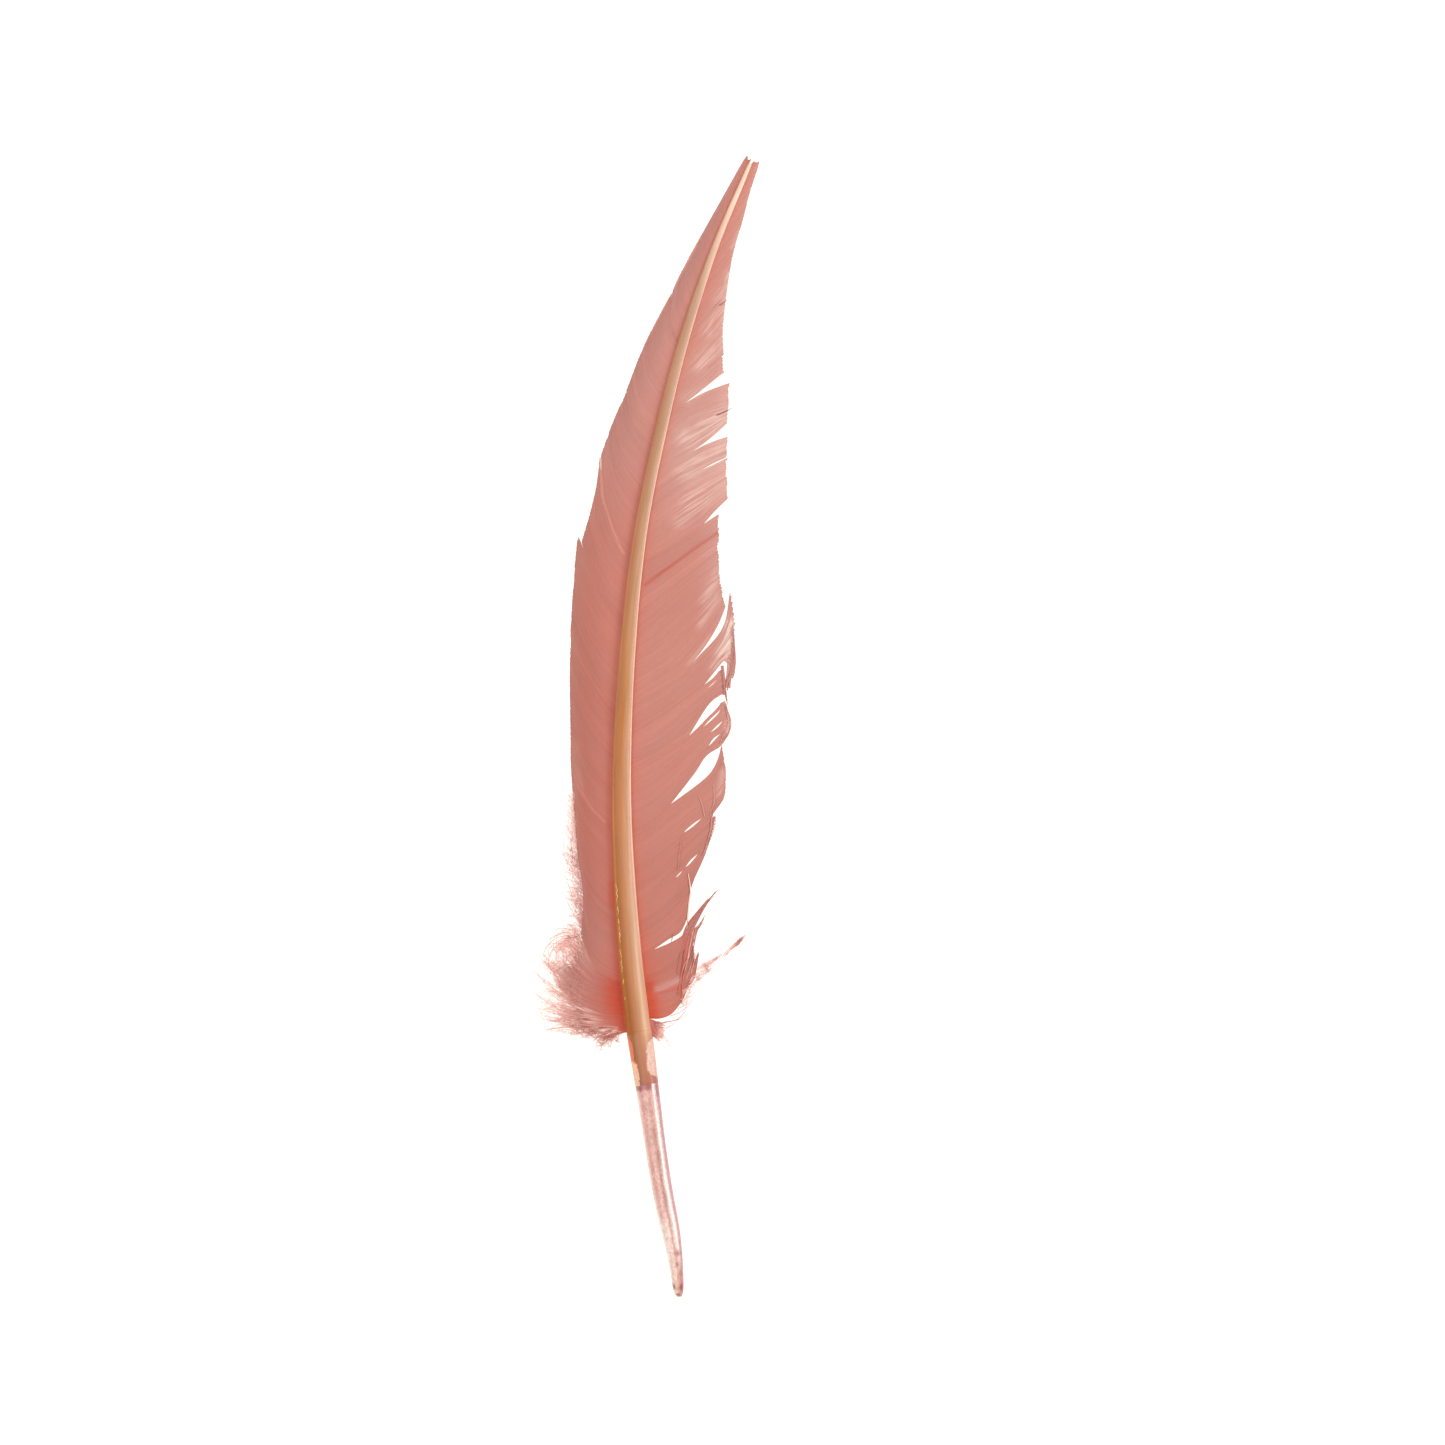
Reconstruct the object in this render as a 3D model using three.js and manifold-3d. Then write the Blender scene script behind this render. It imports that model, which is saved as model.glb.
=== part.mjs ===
// A quill: one wing feather, dyed pink, whose bare shaft end is the barrel that a writer holds and cuts.
// It lies on a table at Z = 0 with its smooth upper side up. +Y runs from the barrel to the feather's tip,
// +X points to the wide inner vane, and all sizes are in millimetres.
//
// The shaft is a hollow barrel, then a tapering horn shell filled with pith. On each side of it the barbs
// lie zipped into panels. Every panel is drawn by a few guide barbs, each one a path from the shaft to the
// vane's edge, and the barbs between two guides are blended from them. Where a vane has come unzipped, the
// two panels share a guide's trunk up to the split, and each has its own lip beyond it.

import * as THREE from 'three';
import { mergeVertices } from 'three/addons/utils/BufferGeometryUtils.js';
import Module from 'manifold-3d';

const wasm = await Module();
wasm.setup();

// Driving dimensions

const BARREL_END = -150;
const COLLAR = -80;
const SHAFT_TIP = 148;
const PITH_BASE = -93;
const PITH_TIP = 108;
const SHELL_HOLLOW_END = 112;

const GAP = 0.3;
const SEAM = 0.35;
const OVERRUN = 1;

const BARREL_SIDES = 16;
const BARREL_WALL = 0.4;
const TIP_HOLE_RADIUS = 0.3;
const SHELL_WALL = 0.45;
const SHELL_ROUNDNESS = 2.5;

const VANE_THICKNESS = 0.4;
const DOWN_THICKNESS = 0.8;
const BARB_TAPER = 0.4;
const PANEL_STEPS_ALONG = 7;
const PANEL_STEPS_BETWEEN = 2;
const STRAND_THICKNESS = 0.35;
const STRAND_LIFT = 0.75;
const STRAND_TAPER = 0.75;
const FILM_THICKNESS = 0.22;
const SKIN_STEPS_ROUND = 5;

const RIGHT = 1;
const LEFT = -1;

// Shape of the shaft: [station along Y, value]

const spineX = profile([
  [-150, 8.9], [-138, 7.6], [-119, 4], [-94, 0.4], [-76, -2.1], [-56, -4.3], [-30, -5.9],
  [-9, -6.1], [20, -4.6], [49, -1.5], [74, 3.3], [100, 9.7], [125, 17.9], [148, 27.5],
]);
const barrelRadius = profile([
  [-150, 0.7], [-149, 1.15], [-147, 1.5], [-143, 1.75], [-138, 2.1], [-132, 2.5],
  [-124, 2.65], [-108, 2.8], [-94, 3.05], [COLLAR, 3.35],
]);
const shaftHalfWidth = profile([
  [COLLAR, 3.35], [-58, 3.15], [-45, 2.95], [-30, 2.7], [-10, 2.5], [7, 2.3], [33, 1.95],
  [60, 1.65], [86, 1.5], [112, 1.2], [127, 0.9], [141, 0.7], [SHAFT_TIP, 0.52],
]);
const shaftHalfDepth = profile([
  [COLLAR, 3.3], [-30, 2.75], [0, 2.45], [33, 2.1], [60, 1.8], [86, 1.45], [112, 1.05],
  [130, 0.75], [SHAFT_TIP, 0.45],
]);
const shaftBelly = profile([
  [COLLAR, 0], [-50, 1.2], [-15, 2.8], [20, 3.6], [60, 3.2], [100, 1.9], [130, 0.8], [SHAFT_TIP, 0.3],
]);
const pithShare = profile([[PITH_BASE, 0.12], [-88, 0.5], [COLLAR, 1]]);
const plugShare = profile([[-98.5, 0.4], [-97, 0.85], [-95, 1], [PITH_BASE - GAP, 0.9]]);

// The groove along the shell's belly starts above the collar: [station, height of the belly's middle facet
// above the shaft's centre line, as a share of the facet's own depth below it]

const grooveShare = profile([[-74, 1], [-55, 0.74], [100, 0.74], [120, 0.9], [SHAFT_TIP, 1]]);
const GROOVE_EDGE = 0.9;

// The vanes stand this high at the shaft and fall to the table at their edges.

const VANE_ROOT_SHARE = 1.3;
const VANE_EDGE_HEIGHT = 0.45;
const VANE_CAMBER = 1.7;
const vaneEdge = {
  [LEFT]: profile([
    [-90, -26], [-70, -22], [-50, -18.5], [-17, -19.4], [2, -20.1], [27, -20.1], [49, -18],
    [71, -12.3], [96, -2], [121, 10.9], [148, 25],
  ]),
  [RIGHT]: profile([
    [-90, 6], [-76, 10], [-60, 14], [-45, 15], [-20, 21], [10, 23.5], [45, 20], [60, 21.7],
    [90, 22], [103, 20.5], [121, 22.8], [148, 29.5],
  ]),
};

// Guide barbs: where each leaves the shaft, and the points it passes on its way to the vane's edge.
// A lip is the stretch past a split, where the panel on the other side has a lip of its own.

const INNER_VANE = [
  [
    { root: 147.5, trunk: [[28.8, 147.9]] },
    { root: 140.5, trunk: [[27, 144.5], [29.5, 147.3]] },
    { root: 132, trunk: [[24.5, 136], [27.6, 140.7]] },
    { root: 122.5, trunk: [[22, 127], [25.4, 132.3]] },
    { root: 112.5, trunk: [[19, 117], [23, 123.8]] },
    { root: 101.5, trunk: [[16.5, 107], [21.3, 113]] },
    { root: 91, trunk: [[14.5, 97], [20, 103.6]] },
    { root: 82.5, trunk: [[9.9, 84.6]], lip: [[15, 88.6], [20.5, 93.4]] },
  ],
  [
    { root: 82.5, trunk: [[9.9, 84.6]], lip: [[15, 87.8], [18.5, 89.2], [22.2, 90]] },
    { root: 75.5, trunk: [[10.5, 80.5], [16.5, 83.3], [22, 84.9]] },
    { root: 67.5, trunk: [[10.9, 71.3]], lip: [[16.2, 75.1], [21.7, 79.9]] },
  ],
  [
    { root: 67.5, trunk: [[10.9, 71.3]], lip: [[16, 74.1], [21.7, 76.3]] },
    { root: 59, trunk: [[9, 64.5], [15.5, 68], [21.6, 71]] },
    { root: 50.5, trunk: [[8.5, 56.5], [15, 61], [21.6, 65.4]] },
    { root: 43, trunk: [[7, 47.2], [15.1, 53]], lip: [[18.3, 56.7], [21.8, 60.1]] },
  ],
  [
    { root: 43, trunk: [[7, 47.2], [15.1, 53]], lip: [[19.7, 56.2]] },
    { root: 36.5, trunk: [[6.5, 41.5], [13.5, 46.7], [19.5, 51.2]] },
    { root: 28, trunk: [[5.5, 34], [13.5, 40.5], [19.4, 45]] },
    { root: 19, trunk: [[5, 24.5], [14, 33], [19.8, 38.3]] },
    { root: 5.5, trunk: [[2.5, 9.1], [9.3, 13]], lip: [[15.4, 20.7], [19.1, 26.7], [21.3, 32]] },
  ],
  [
    { root: 5.5, trunk: [[2.5, 9.1], [9.3, 13]], lip: [[14, 18.3], [18, 23.6], [21.5, 30], [22.5, 35.9]] },
    { root: 1.5, trunk: [[5, 7], [14.5, 14.5], [20, 21.5], [23.2, 28.6]] },
    { root: -2.2, trunk: [[4.3, 2.5], [15.4, 10.8]], lip: [[19, 15.4], [22.5, 18.8]] },
  ],
  [
    { root: -2.2, trunk: [[4.3, 2.5], [15.4, 10.8]], lip: [[18.3, 12.5], [20.1, 15.4]] },
    { root: -6.5, trunk: [[4, -3], [13.5, 5.5], [18, 9.5], [20.4, 11.7]] },
    { root: -11.5, trunk: [[2.5, -8], [11.2, -2.8]], lip: [[14.3, 2.2], [17, 6.2], [20.7, 8.9]] },
  ],
  [
    { root: -11.5, trunk: [[2.5, -8], [11.2, -2.8]], lip: [[16, 0.7], [18.8, 3.8], [20.9, 6.7]] },
    { root: -19.5, trunk: [[4, -14.5], [14.5, -5], [20.7, 1.2]] },
    { root: -28, trunk: [[1.2, -25.4], [6.4, -20.7]], lip: [[13, -12.2], [15.7, -8], [19.6, -5.4]] },
  ],
  [
    { root: -28, trunk: [[1.2, -25.4], [6.4, -20.7]], lip: [[14.1, -15.1], [17.8, -11.7], [19.6, -6.2]] },
    { root: -32.5, trunk: [[2.5, -29], [12, -21.5], [19, -16.5], [21.2, -11.7]] },
    { root: -37, trunk: [[3.5, -33], [13, -25.5], [18.6, -21], [20.9, -18.3]] },
    { root: -44.5, trunk: [[4, -39.5], [12, -31.5], [16.2, -27.5], [18, -24.9]] },
    { root: -52, trunk: [[3.5, -48], [9.6, -42.2], [13.6, -37.2], [15.7, -32.5]] },
  ],
  [
    { root: -52, trunk: [[3.5, -48], [9.6, -42.2], [13.6, -37.2], [15.4, -33.8]] },
    { root: -56.5, trunk: [[3.5, -53], [8, -49], [11.2, -44.3], [12.2, -41.7]] },
    { root: -61, trunk: [[1.4, -59.1]], lip: [[6, -55.9], [9.3, -53.8], [11.2, -49.9]] },
  ],
  [
    { root: -61, trunk: [[1.4, -59.1]], lip: [[7, -56.7], [10.1, -54.6], [12.2, -51.5]] },
    { root: -65.5, trunk: [[4.5, -63], [9.6, -59], [12.5, -56]] },
    { root: -69.5, trunk: [[5, -67.5], [10, -64.5], [13, -61]] },
    { root: -73.5, trunk: [[5, -72], [8.8, -70], [12.2, -66]] },
    { root: -77, trunk: [[4, -76.6], [7, -75.4], [9.9, -72]] },
  ],
];

const OUTER_VANE = [
  [
    { root: 148, trunk: [[27, 149.4]] },
    { root: 138, trunk: [[23.6, 143], [26.2, 149.5]] },
    { root: 127.5, trunk: [[17.8, 132.5], [20.1, 138.8]] },
    { root: 116, trunk: [[12.8, 121.2], [14.3, 128.6]] },
    { root: 104.5, trunk: [[8.3, 110.5], [9.3, 119.4]] },
    { root: 100, trunk: [[6.2, 106], [7.5, 115.1]] },
  ],
  [
    { root: 100, trunk: [[6.2, 106], [7, 114.6]] },
    { root: 86, trunk: [[0.7, 93.3], [-0.1, 100.9]] },
    { root: 73, trunk: [[-3.8, 80.7], [-5.1, 88.3]] },
    { root: 59, trunk: [[-7.2, 69], [-8.8, 79.6]] },
    { root: 44.5, trunk: [[-8.3, 50.4], [-10.9, 59.6], [-11.3, 72]] },
  ],
  [
    { root: 44.5, trunk: [[-8.3, 50.4], [-11.4, 59.6], [-12, 70.7]] },
    { root: 36, trunk: [[-10.7, 43.5], [-13.3, 51.7], [-14.1, 59.1]] },
    { root: 27.5, trunk: [[-11.2, 34.6], [-14.3, 43.3], [-15.9, 51.2]] },
  ],
  [
    { root: 27.5, trunk: [[-11.2, 34.6], [-15.1, 43.3], [-17.6, 50.9]] },
    { root: 17, trunk: [[-12.8, 24.3], [-17, 33.3], [-18.8, 40.1]] },
    { root: 3.5, trunk: [[-12.2, 9], [-17.2, 18.3], [-20, 26.7]] },
  ],
  [
    { root: 3.5, trunk: [[-12.2, 9], [-17, 17.8], [-19.3, 24.9]] },
    { root: -9.5, trunk: [[-13.6, -3], [-18, 5], [-19.9, 12.2]] },
    { root: -26, trunk: [[-14.3, -21], [-17.5, -15.4], [-19.9, -8]] },
  ],
  [
    { root: -26, trunk: [[-14.3, -21], [-17.2, -15.9], [-19.6, -9.3]] },
    { root: -38.5, trunk: [[-13.6, -33], [-17.2, -26.5], [-19.1, -18.8]] },
    { root: -52.5, trunk: [[-12.5, -48.6], [-15.9, -42.5], [-18, -32]] },
  ],
  [
    { root: -52.5, trunk: [[-12.5, -48.6], [-15.7, -43], [-17.8, -33.6]] },
    { root: -60, trunk: [[-12, -57], [-15.1, -52], [-16.4, -43.8]] },
    { root: -67, trunk: [[-11.2, -65], [-14.6, -61], [-17, -54.6]] },
  ],
];

// The downy barbs below the vanes fan out sideways.

const OUTER_DOWN = [
  [
    { root: -67.5, trunk: [[-11.3, -65.6], [-14.9, -61.6], [-17.7, -55.6]] },
    { root: -71, trunk: [[-12.5, -70.5], [-18.5, -67.5], [-23, -61.5]] },
  ],
  [
    { root: -71, trunk: [[-12.5, -70.5], [-18.5, -67.5], [-23, -62]] },
    { root: -75, trunk: [[-12.5, -75.5], [-20, -73], [-26, -66.5]] },
  ],
  [
    { root: -75, trunk: [[-12.5, -75.5], [-20, -73], [-26.5, -67.5]] },
    { root: -78, trunk: [[-12.5, -79.5], [-20, -79.5], [-28.5, -77]] },
  ],
  [
    { root: -78.2, trunk: [[-9, -80.6], [-14, -81.6], [-19, -82]] },
    { root: -79.8, trunk: [[-8, -82.2], [-10.5, -84], [-12.5, -86]] },
  ],
];
const INNER_DOWN = [
  { root: -77, trunk: [[3, -77.4], [6.5, -77.2], [9, -75.5]] },
  { root: -79.3, trunk: [[2.5, -80.2], [5, -81.5], [7, -82.5]] },
];

// Thin blades of a few barbs that have come away from the vanes, and lie on them or beside them.

const VANE_STRANDS = {
  edge_strand_1: { width: 1.1, path: [[21, 10], [22.7, 12.3], [23.6, 18], [23.7, 26.5], [22.6, 35]] },
  edge_strand_2: { width: 0.9, path: [[19.4, -5.5], [21.8, -2.5], [22.1, 1.2], [21.2, 5], [20.7, 8.2]] },
  spike_strand_1: { width: 1, path: [[12.4, -52.8], [15.1, -48.8], [18.6, -43.8]] },
  spike_strand_2: { width: 0.8, path: [[13.5, -55.8], [14.4, -53.4], [15.8, -49.9]] },
  spike_strand_3: { width: 0.8, path: [[13, -65], [14, -62.4], [14.2, -58.6]] },
};
const DOWNY_STRAND = { width: 0.9, path: [[10.8, -73], [14.3, -68], [18.3, -62], [26.5, -55.1]] };
const DOWNY_EDGE = { width: 1.6, path: [[-19.3, -55.5], [-20.6, -45], [-21.3, -33], [-21.5, -20]] };

// Dried pulp: a row of cups in the barrel, and a crumb in its open end.

const PULP_CAP_STATIONS = [-139, -131, -123, -115, -107];
const PULP_CAP_WALL = 0.2;
const PULP_CAP_DEPTH = 3.2;
const PULP_CAP_SLACK = 0.45;
const PULP_CAP_SHOULDER = 0.7;
const TIP_PULP_BASE = -148.6;
const TIP_PULP_TOP = -144.8;
const TIP_PULP_SHARE = 0.7;

// Skins on the shaft. Angles are in half turns from the shaft's right-hand side, over its top.

const LEFT_FILM = { from: -94, to: COLLAR - 1, angles: [0.86, 1.1], steps: 8 };
const RIGHT_FILM = { from: -92, to: COLLAR - 1, angles: [-0.1, 0.2], steps: 8 };
const FLAKE = { from: -68, to: -41, angles: [0.68, 0.76], steps: 12 };

// Curves and frames

/** A smooth curve through [station, value] knots, level past both ends. */
function profile(knots) {
  const last = knots.length - 1;
  const slopes = knots.map((_, i) => {
    const [s0, v0] = knots[Math.max(i - 1, 0)];
    const [s1, v1] = knots[Math.min(i + 1, last)];
    return (v1 - v0) / (s1 - s0);
  });
  return (station) => {
    if (station <= knots[0][0]) return knots[0][1];
    if (station >= knots[last][0]) return knots[last][1];
    const i = knots.findIndex(([s]) => s > station) - 1;
    const [s0, v0] = knots[i];
    const [s1, v1] = knots[i + 1];
    const step = s1 - s0;
    const t = (station - s0) / step;
    const rise = v1 - v0;
    const a = slopes[i] * step - rise;
    const b = rise - slopes[i + 1] * step;
    return v0 + rise * t + t * (1 - t) * (a * (1 - t) + b * t);
  };
}

/** Unit vector square to the shaft in plan, to its right. */
function acrossShaft(station) {
  const lean = spineX(station + 0.5) - spineX(station - 0.5);
  return new THREE.Vector2(1, -lean).normalize();
}

/** The point at a station of the shaft, so far to its right, and so high. */
function besideShaft(station, offset, height) {
  const across = acrossShaft(station);
  return new THREE.Vector3(spineX(station) + across.x * offset, station + across.y * offset, height);
}

function shaftMiddle(station) {
  return shaftBelly(station) + shaftHalfDepth(station);
}

/** Height of a vane's middle surface over a point of the table. */
function vaneHeight(side, x, y) {
  const root = shaftBelly(y) + VANE_ROOT_SHARE * shaftHalfDepth(y);
  const rootX = spineX(y) + side * shaftHalfWidth(y);
  const share = THREE.MathUtils.clamp((x - rootX) / (vaneEdge[side](y) - rootX), 0, 1);
  return THREE.MathUtils.lerp(root, VANE_EDGE_HEIGHT, share ** VANE_CAMBER);
}

/** A guide barb's path in plan, from the shaft's side to the vane's edge. */
function guidePath(side, { root, trunk, lip }) {
  const start = besideShaft(root, side * (shaftHalfWidth(root) + GAP), 0);
  const points = [[start.x, start.y], ...trunk].map(([x, y]) => new THREE.Vector2(x, y));
  const path = new THREE.CurvePath();
  path.add(new THREE.SplineCurve(points));
  if (lip) {
    const beyond = [trunk[trunk.length - 1], ...lip].map(([x, y]) => new THREE.Vector2(x, y));
    path.add(new THREE.SplineCurve(beyond));
  }
  return path;
}

// Solids

/** Moves every vertex of a closed geometry to where place() says. */
function reshape(geometry, place) {
  geometry.deleteAttribute('normal');
  geometry.deleteAttribute('uv');
  const merged = mergeVertices(geometry);
  const position = merged.getAttribute('position');
  const vertex = new THREE.Vector3();
  for (let i = 0; i < position.count; i += 1) {
    const placed = place(vertex.fromBufferAttribute(position, i));
    position.setXYZ(i, placed.x, placed.y, placed.z);
  }
  return merged;
}

/**
 * A rod along the shaft. section(station) gives its half-width, half-depth and middle height,
 * and the share of its depth that the belly's middle facet keeps.
 */
function shaftRod({ from, to, sides, steps, roundness = 2 }, section) {
  const rod = new THREE.CylinderGeometry(1, 1, 1, sides, steps, false, Math.PI / sides);
  const swell = (bulge) => Math.sign(bulge) * Math.abs(bulge) ** (2 / roundness);
  return reshape(rod, ({ x, y, z }) => {
    const station = THREE.MathUtils.lerp(from, to, y + 0.5);
    const { halfWidth, halfDepth, middle, groove = 1 } = section(station);
    const depth = z < -GROOVE_EDGE ? halfDepth * groove : halfDepth;
    return besideShaft(station, halfWidth * swell(x), middle + depth * swell(z));
  });
}

function toManifold(geometry) {
  const vertProperties = new Float32Array(geometry.getAttribute('position').array);
  const triVerts = new Uint32Array(geometry.getIndex().array);
  return new wasm.Manifold(new wasm.Mesh({ numProp: 3, vertProperties, triVerts }));
}

function subtract(body, tool) {
  const mesh = toManifold(body).subtract(toManifold(tool)).getMesh();
  const geometry = new THREE.BufferGeometry();
  geometry.setAttribute('position', new THREE.BufferAttribute(mesh.vertProperties, 3));
  geometry.setIndex(new THREE.BufferAttribute(mesh.triVerts, 1));
  return geometry;
}

/** A panel of barbs between its first guide, nearest the tip, and its last. */
function barbPanel(side, guides, thickness) {
  const paths = guides.map((guide) => guidePath(side, guide));
  const inset = SEAM / Math.abs(guides[0].root - guides[guides.length - 1].root);
  const steps = PANEL_STEPS_BETWEEN * (guides.length - 1);
  const slab = new THREE.BoxGeometry(1, 1, 1, PANEL_STEPS_ALONG, steps, 1);
  return reshape(slab, ({ x, y, z }) => {
    const reach = x + 0.5;
    const towardsBase = 0.5 - side * y;
    const blend = new THREE.SplineCurve(paths.map((path) => path.getPointAt(reach)));
    const point = blend.getPoint(THREE.MathUtils.lerp(inset, 1 - inset, towardsBase));
    const height = vaneHeight(side, point.x, point.y);
    const taper = 1 - BARB_TAPER * reach;
    return new THREE.Vector3(point.x, point.y, height + z * thickness * taper);
  });
}

/** A thin skin over part of the shaft's outside. */
function shaftSkin({ from, to, angles, steps }, section) {
  const slab = new THREE.BoxGeometry(1, 1, 1, SKIN_STEPS_ROUND, steps, 1);
  return reshape(slab, ({ x, y, z }) => {
    const station = THREE.MathUtils.lerp(from, to, y + 0.5);
    const angle = Math.PI * THREE.MathUtils.lerp(angles[1], angles[0], x + 0.5);
    const { halfWidth, halfDepth, middle } = section(station);
    const offset = GAP + FILM_THICKNESS * (z + 0.5);
    const right = (halfWidth + offset) * Math.cos(angle);
    return besideShaft(station, right, middle + (halfDepth + offset) * Math.sin(angle));
  });
}

// Sub-parts

const FACET_FLATNESS = Math.cos(Math.PI / BARREL_SIDES);

/** Height of the barrel's centre line, so that its lowest facet is flat on the table. */
function barrelMiddle(station) {
  return barrelRadius(station) * FACET_FLATNESS;
}

function roundSection(radiusAt) {
  return (station) => {
    const radius = radiusAt(station);
    return { halfWidth: radius, halfDepth: radius, middle: barrelMiddle(station) };
  };
}

function boreRadius(station) {
  return Math.max(barrelRadius(station) - BARREL_WALL, TIP_HOLE_RADIUS);
}

function shellSection(inset) {
  return (station) => ({
    halfWidth: shaftHalfWidth(station) - inset,
    halfDepth: shaftHalfDepth(station) - inset,
    middle: shaftMiddle(station),
    groove: grooveShare(station),
  });
}

function quillBarrel() {
  const outside = { from: BARREL_END, to: COLLAR - GAP / 2, sides: BARREL_SIDES, steps: 18 };
  const bore = { from: BARREL_END - OVERRUN, to: COLLAR + OVERRUN, sides: BARREL_SIDES, steps: 18 };
  return subtract(shaftRod(outside, roundSection(barrelRadius)), shaftRod(bore, roundSection(boreRadius)));
}

function rachisShell() {
  const rod = { sides: BARREL_SIDES, roundness: SHELL_ROUNDNESS };
  const outside = { ...rod, from: COLLAR + GAP / 2, to: SHAFT_TIP, steps: 36 };
  const hollow = { ...rod, from: COLLAR - OVERRUN, to: SHELL_HOLLOW_END, steps: 30 };
  return subtract(shaftRod(outside, shellSection(0)), shaftRod(hollow, shellSection(SHELL_WALL)));
}

/** The pith fills the shell, and ends in a tongue inside the barrel. */
function rachisPith() {
  const rod = { from: PITH_BASE, to: PITH_TIP, sides: BARREL_SIDES, steps: 30 };
  return shaftRod(rod, (station) => {
    const inside = shellSection(SHELL_WALL + GAP)(station);
    const share = pithShare(station);
    return { ...inside, halfWidth: inside.halfWidth * share, halfDepth: inside.halfDepth * share };
  });
}

/** One cup of dried pulp, open towards the barrel's end. */
function pulpCap(station) {
  const radius = barrelRadius(station) - BARREL_WALL - PULP_CAP_SLACK;
  const cupLine = (mouth, depth) => [
    new THREE.Vector2(mouth, 0),
    new THREE.Vector2(mouth * PULP_CAP_SHOULDER, depth * PULP_CAP_SHOULDER),
    new THREE.Vector2(0, depth),
  ];
  const inside = cupLine(radius - PULP_CAP_WALL, PULP_CAP_DEPTH - 2 * PULP_CAP_WALL);
  const outline = [...inside.reverse(), ...cupLine(radius, PULP_CAP_DEPTH)];
  const cup = new THREE.LatheGeometry(outline, 12);
  return reshape(cup, ({ x, y, z }) => besideShaft(station + y, x, barrelMiddle(station) + z));
}

/** The membrane that closes the barrel where the pith begins. */
function umbilicusPlug() {
  const rod = { from: -98.5, to: PITH_BASE - GAP, sides: 12, steps: 4 };
  return shaftRod(rod, roundSection((station) => plugShare(station) * (boreRadius(station) - GAP)));
}

function tipPulp() {
  const rod = { from: TIP_PULP_BASE, to: TIP_PULP_TOP, sides: 8, steps: 3 };
  return shaftRod(rod, roundSection((station) => TIP_PULP_SHARE * (boreRadius(station) - GAP)));
}

function strand(side, { width, path }) {
  const points = path.map(([x, y]) => new THREE.Vector3(x, y, vaneHeight(side, x, y) + STRAND_LIFT));
  const curve = new THREE.CatmullRomCurve3(points);
  const blade = new THREE.BoxGeometry(1, 1, 1, 1, 8, 1);
  return reshape(blade, ({ x, y, z }) => {
    const way = y + 0.5;
    const point = curve.getPointAt(way);
    const heading = curve.getTangentAt(way);
    const across = new THREE.Vector2(heading.y, -heading.x).normalize();
    const half = x * width * (1 - STRAND_TAPER * way ** 2);
    return new THREE.Vector3(
      point.x + across.x * half,
      point.y + across.y * half,
      point.z + z * STRAND_THICKNESS,
    );
  });
}

// Materials

const HORN = { color: 0xd6a47a, roughness: 0.35, metalness: 0 };
const CLEAR_HORN = { color: 0xe8bdb4, roughness: 0.3, metalness: 0 };
const PITH = { color: 0xd9b48f, roughness: 0.9, metalness: 0 };
const PINK_BARBS = { color: 0xca8672, roughness: 0.7, metalness: 0 };
const PALE_DOWN = { color: 0xe3b3a8, roughness: 0.9, metalness: 0 };
const FILM = { color: 0xf0cdb8, roughness: 0.6, metalness: 0 };
const GOLDEN_FLAKE = { color: 0xe2a95a, roughness: 0.4, metalness: 0 };
const DRIED_PULP = { color: 0xb98a80, roughness: 0.8, metalness: 0 };

const quill = new THREE.Group();

function add(name, geometry, finish) {
  geometry.computeVertexNormals();
  const mesh = new THREE.Mesh(geometry, new THREE.MeshStandardMaterial(finish));
  mesh.name = name;
  quill.add(mesh);
}

// Assembly

add('quill_barrel', quillBarrel(), CLEAR_HORN);
add('rachis_shell', rachisShell(), HORN);
add('rachis_pith', rachisPith(), PITH);
add('umbilicus_plug', umbilicusPlug(), DRIED_PULP);
add('tip_pulp', tipPulp(), DRIED_PULP);
PULP_CAP_STATIONS.forEach((station, i) => add(`pulp_cap_${i + 1}`, pulpCap(station), DRIED_PULP));

add('sheath_film_left', shaftSkin(LEFT_FILM, roundSection(barrelRadius)), FILM);
add('sheath_film_right', shaftSkin(RIGHT_FILM, roundSection(barrelRadius)), FILM);
add('cuticle_flake', shaftSkin(FLAKE, shellSection(0)), GOLDEN_FLAKE);

INNER_VANE.forEach((guides, i) => {
  add(`inner_vane_${i + 1}`, barbPanel(RIGHT, guides, VANE_THICKNESS), PINK_BARBS);
});
OUTER_VANE.forEach((guides, i) => {
  add(`outer_vane_${i + 1}`, barbPanel(LEFT, guides, VANE_THICKNESS), PINK_BARBS);
});
OUTER_DOWN.forEach((guides, i) => {
  add(`outer_down_${i + 1}`, barbPanel(LEFT, guides, DOWN_THICKNESS), PALE_DOWN);
});
add('inner_down_1', barbPanel(RIGHT, INNER_DOWN, DOWN_THICKNESS), PALE_DOWN);

Object.entries(VANE_STRANDS).forEach(([name, blade]) => add(name, strand(RIGHT, blade), PINK_BARBS));
add('downy_strand', strand(RIGHT, DOWNY_STRAND), PALE_DOWN);
add('downy_edge', strand(LEFT, DOWNY_EDGE), PALE_DOWN);

// The origin is on the table, under the middle of the whole quill.

const centre = new THREE.Box3().setFromObject(quill).getCenter(new THREE.Vector3());
quill.position.set(-centre.x, -centre.y, 0);

export default quill;
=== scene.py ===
"""A quill: one dyed wing feather, lying on a pale table.

The CAD frame gives its size and place. Here the shaft and the barrel get their fine surfaces, and each
vane panel is rebuilt as the separate barbs it stands for. Lengths are millimetres in the quill's own plan,
with the station measured along +Y, and become metres in the frame when a mesh is made.
"""

import math
import zlib

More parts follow.
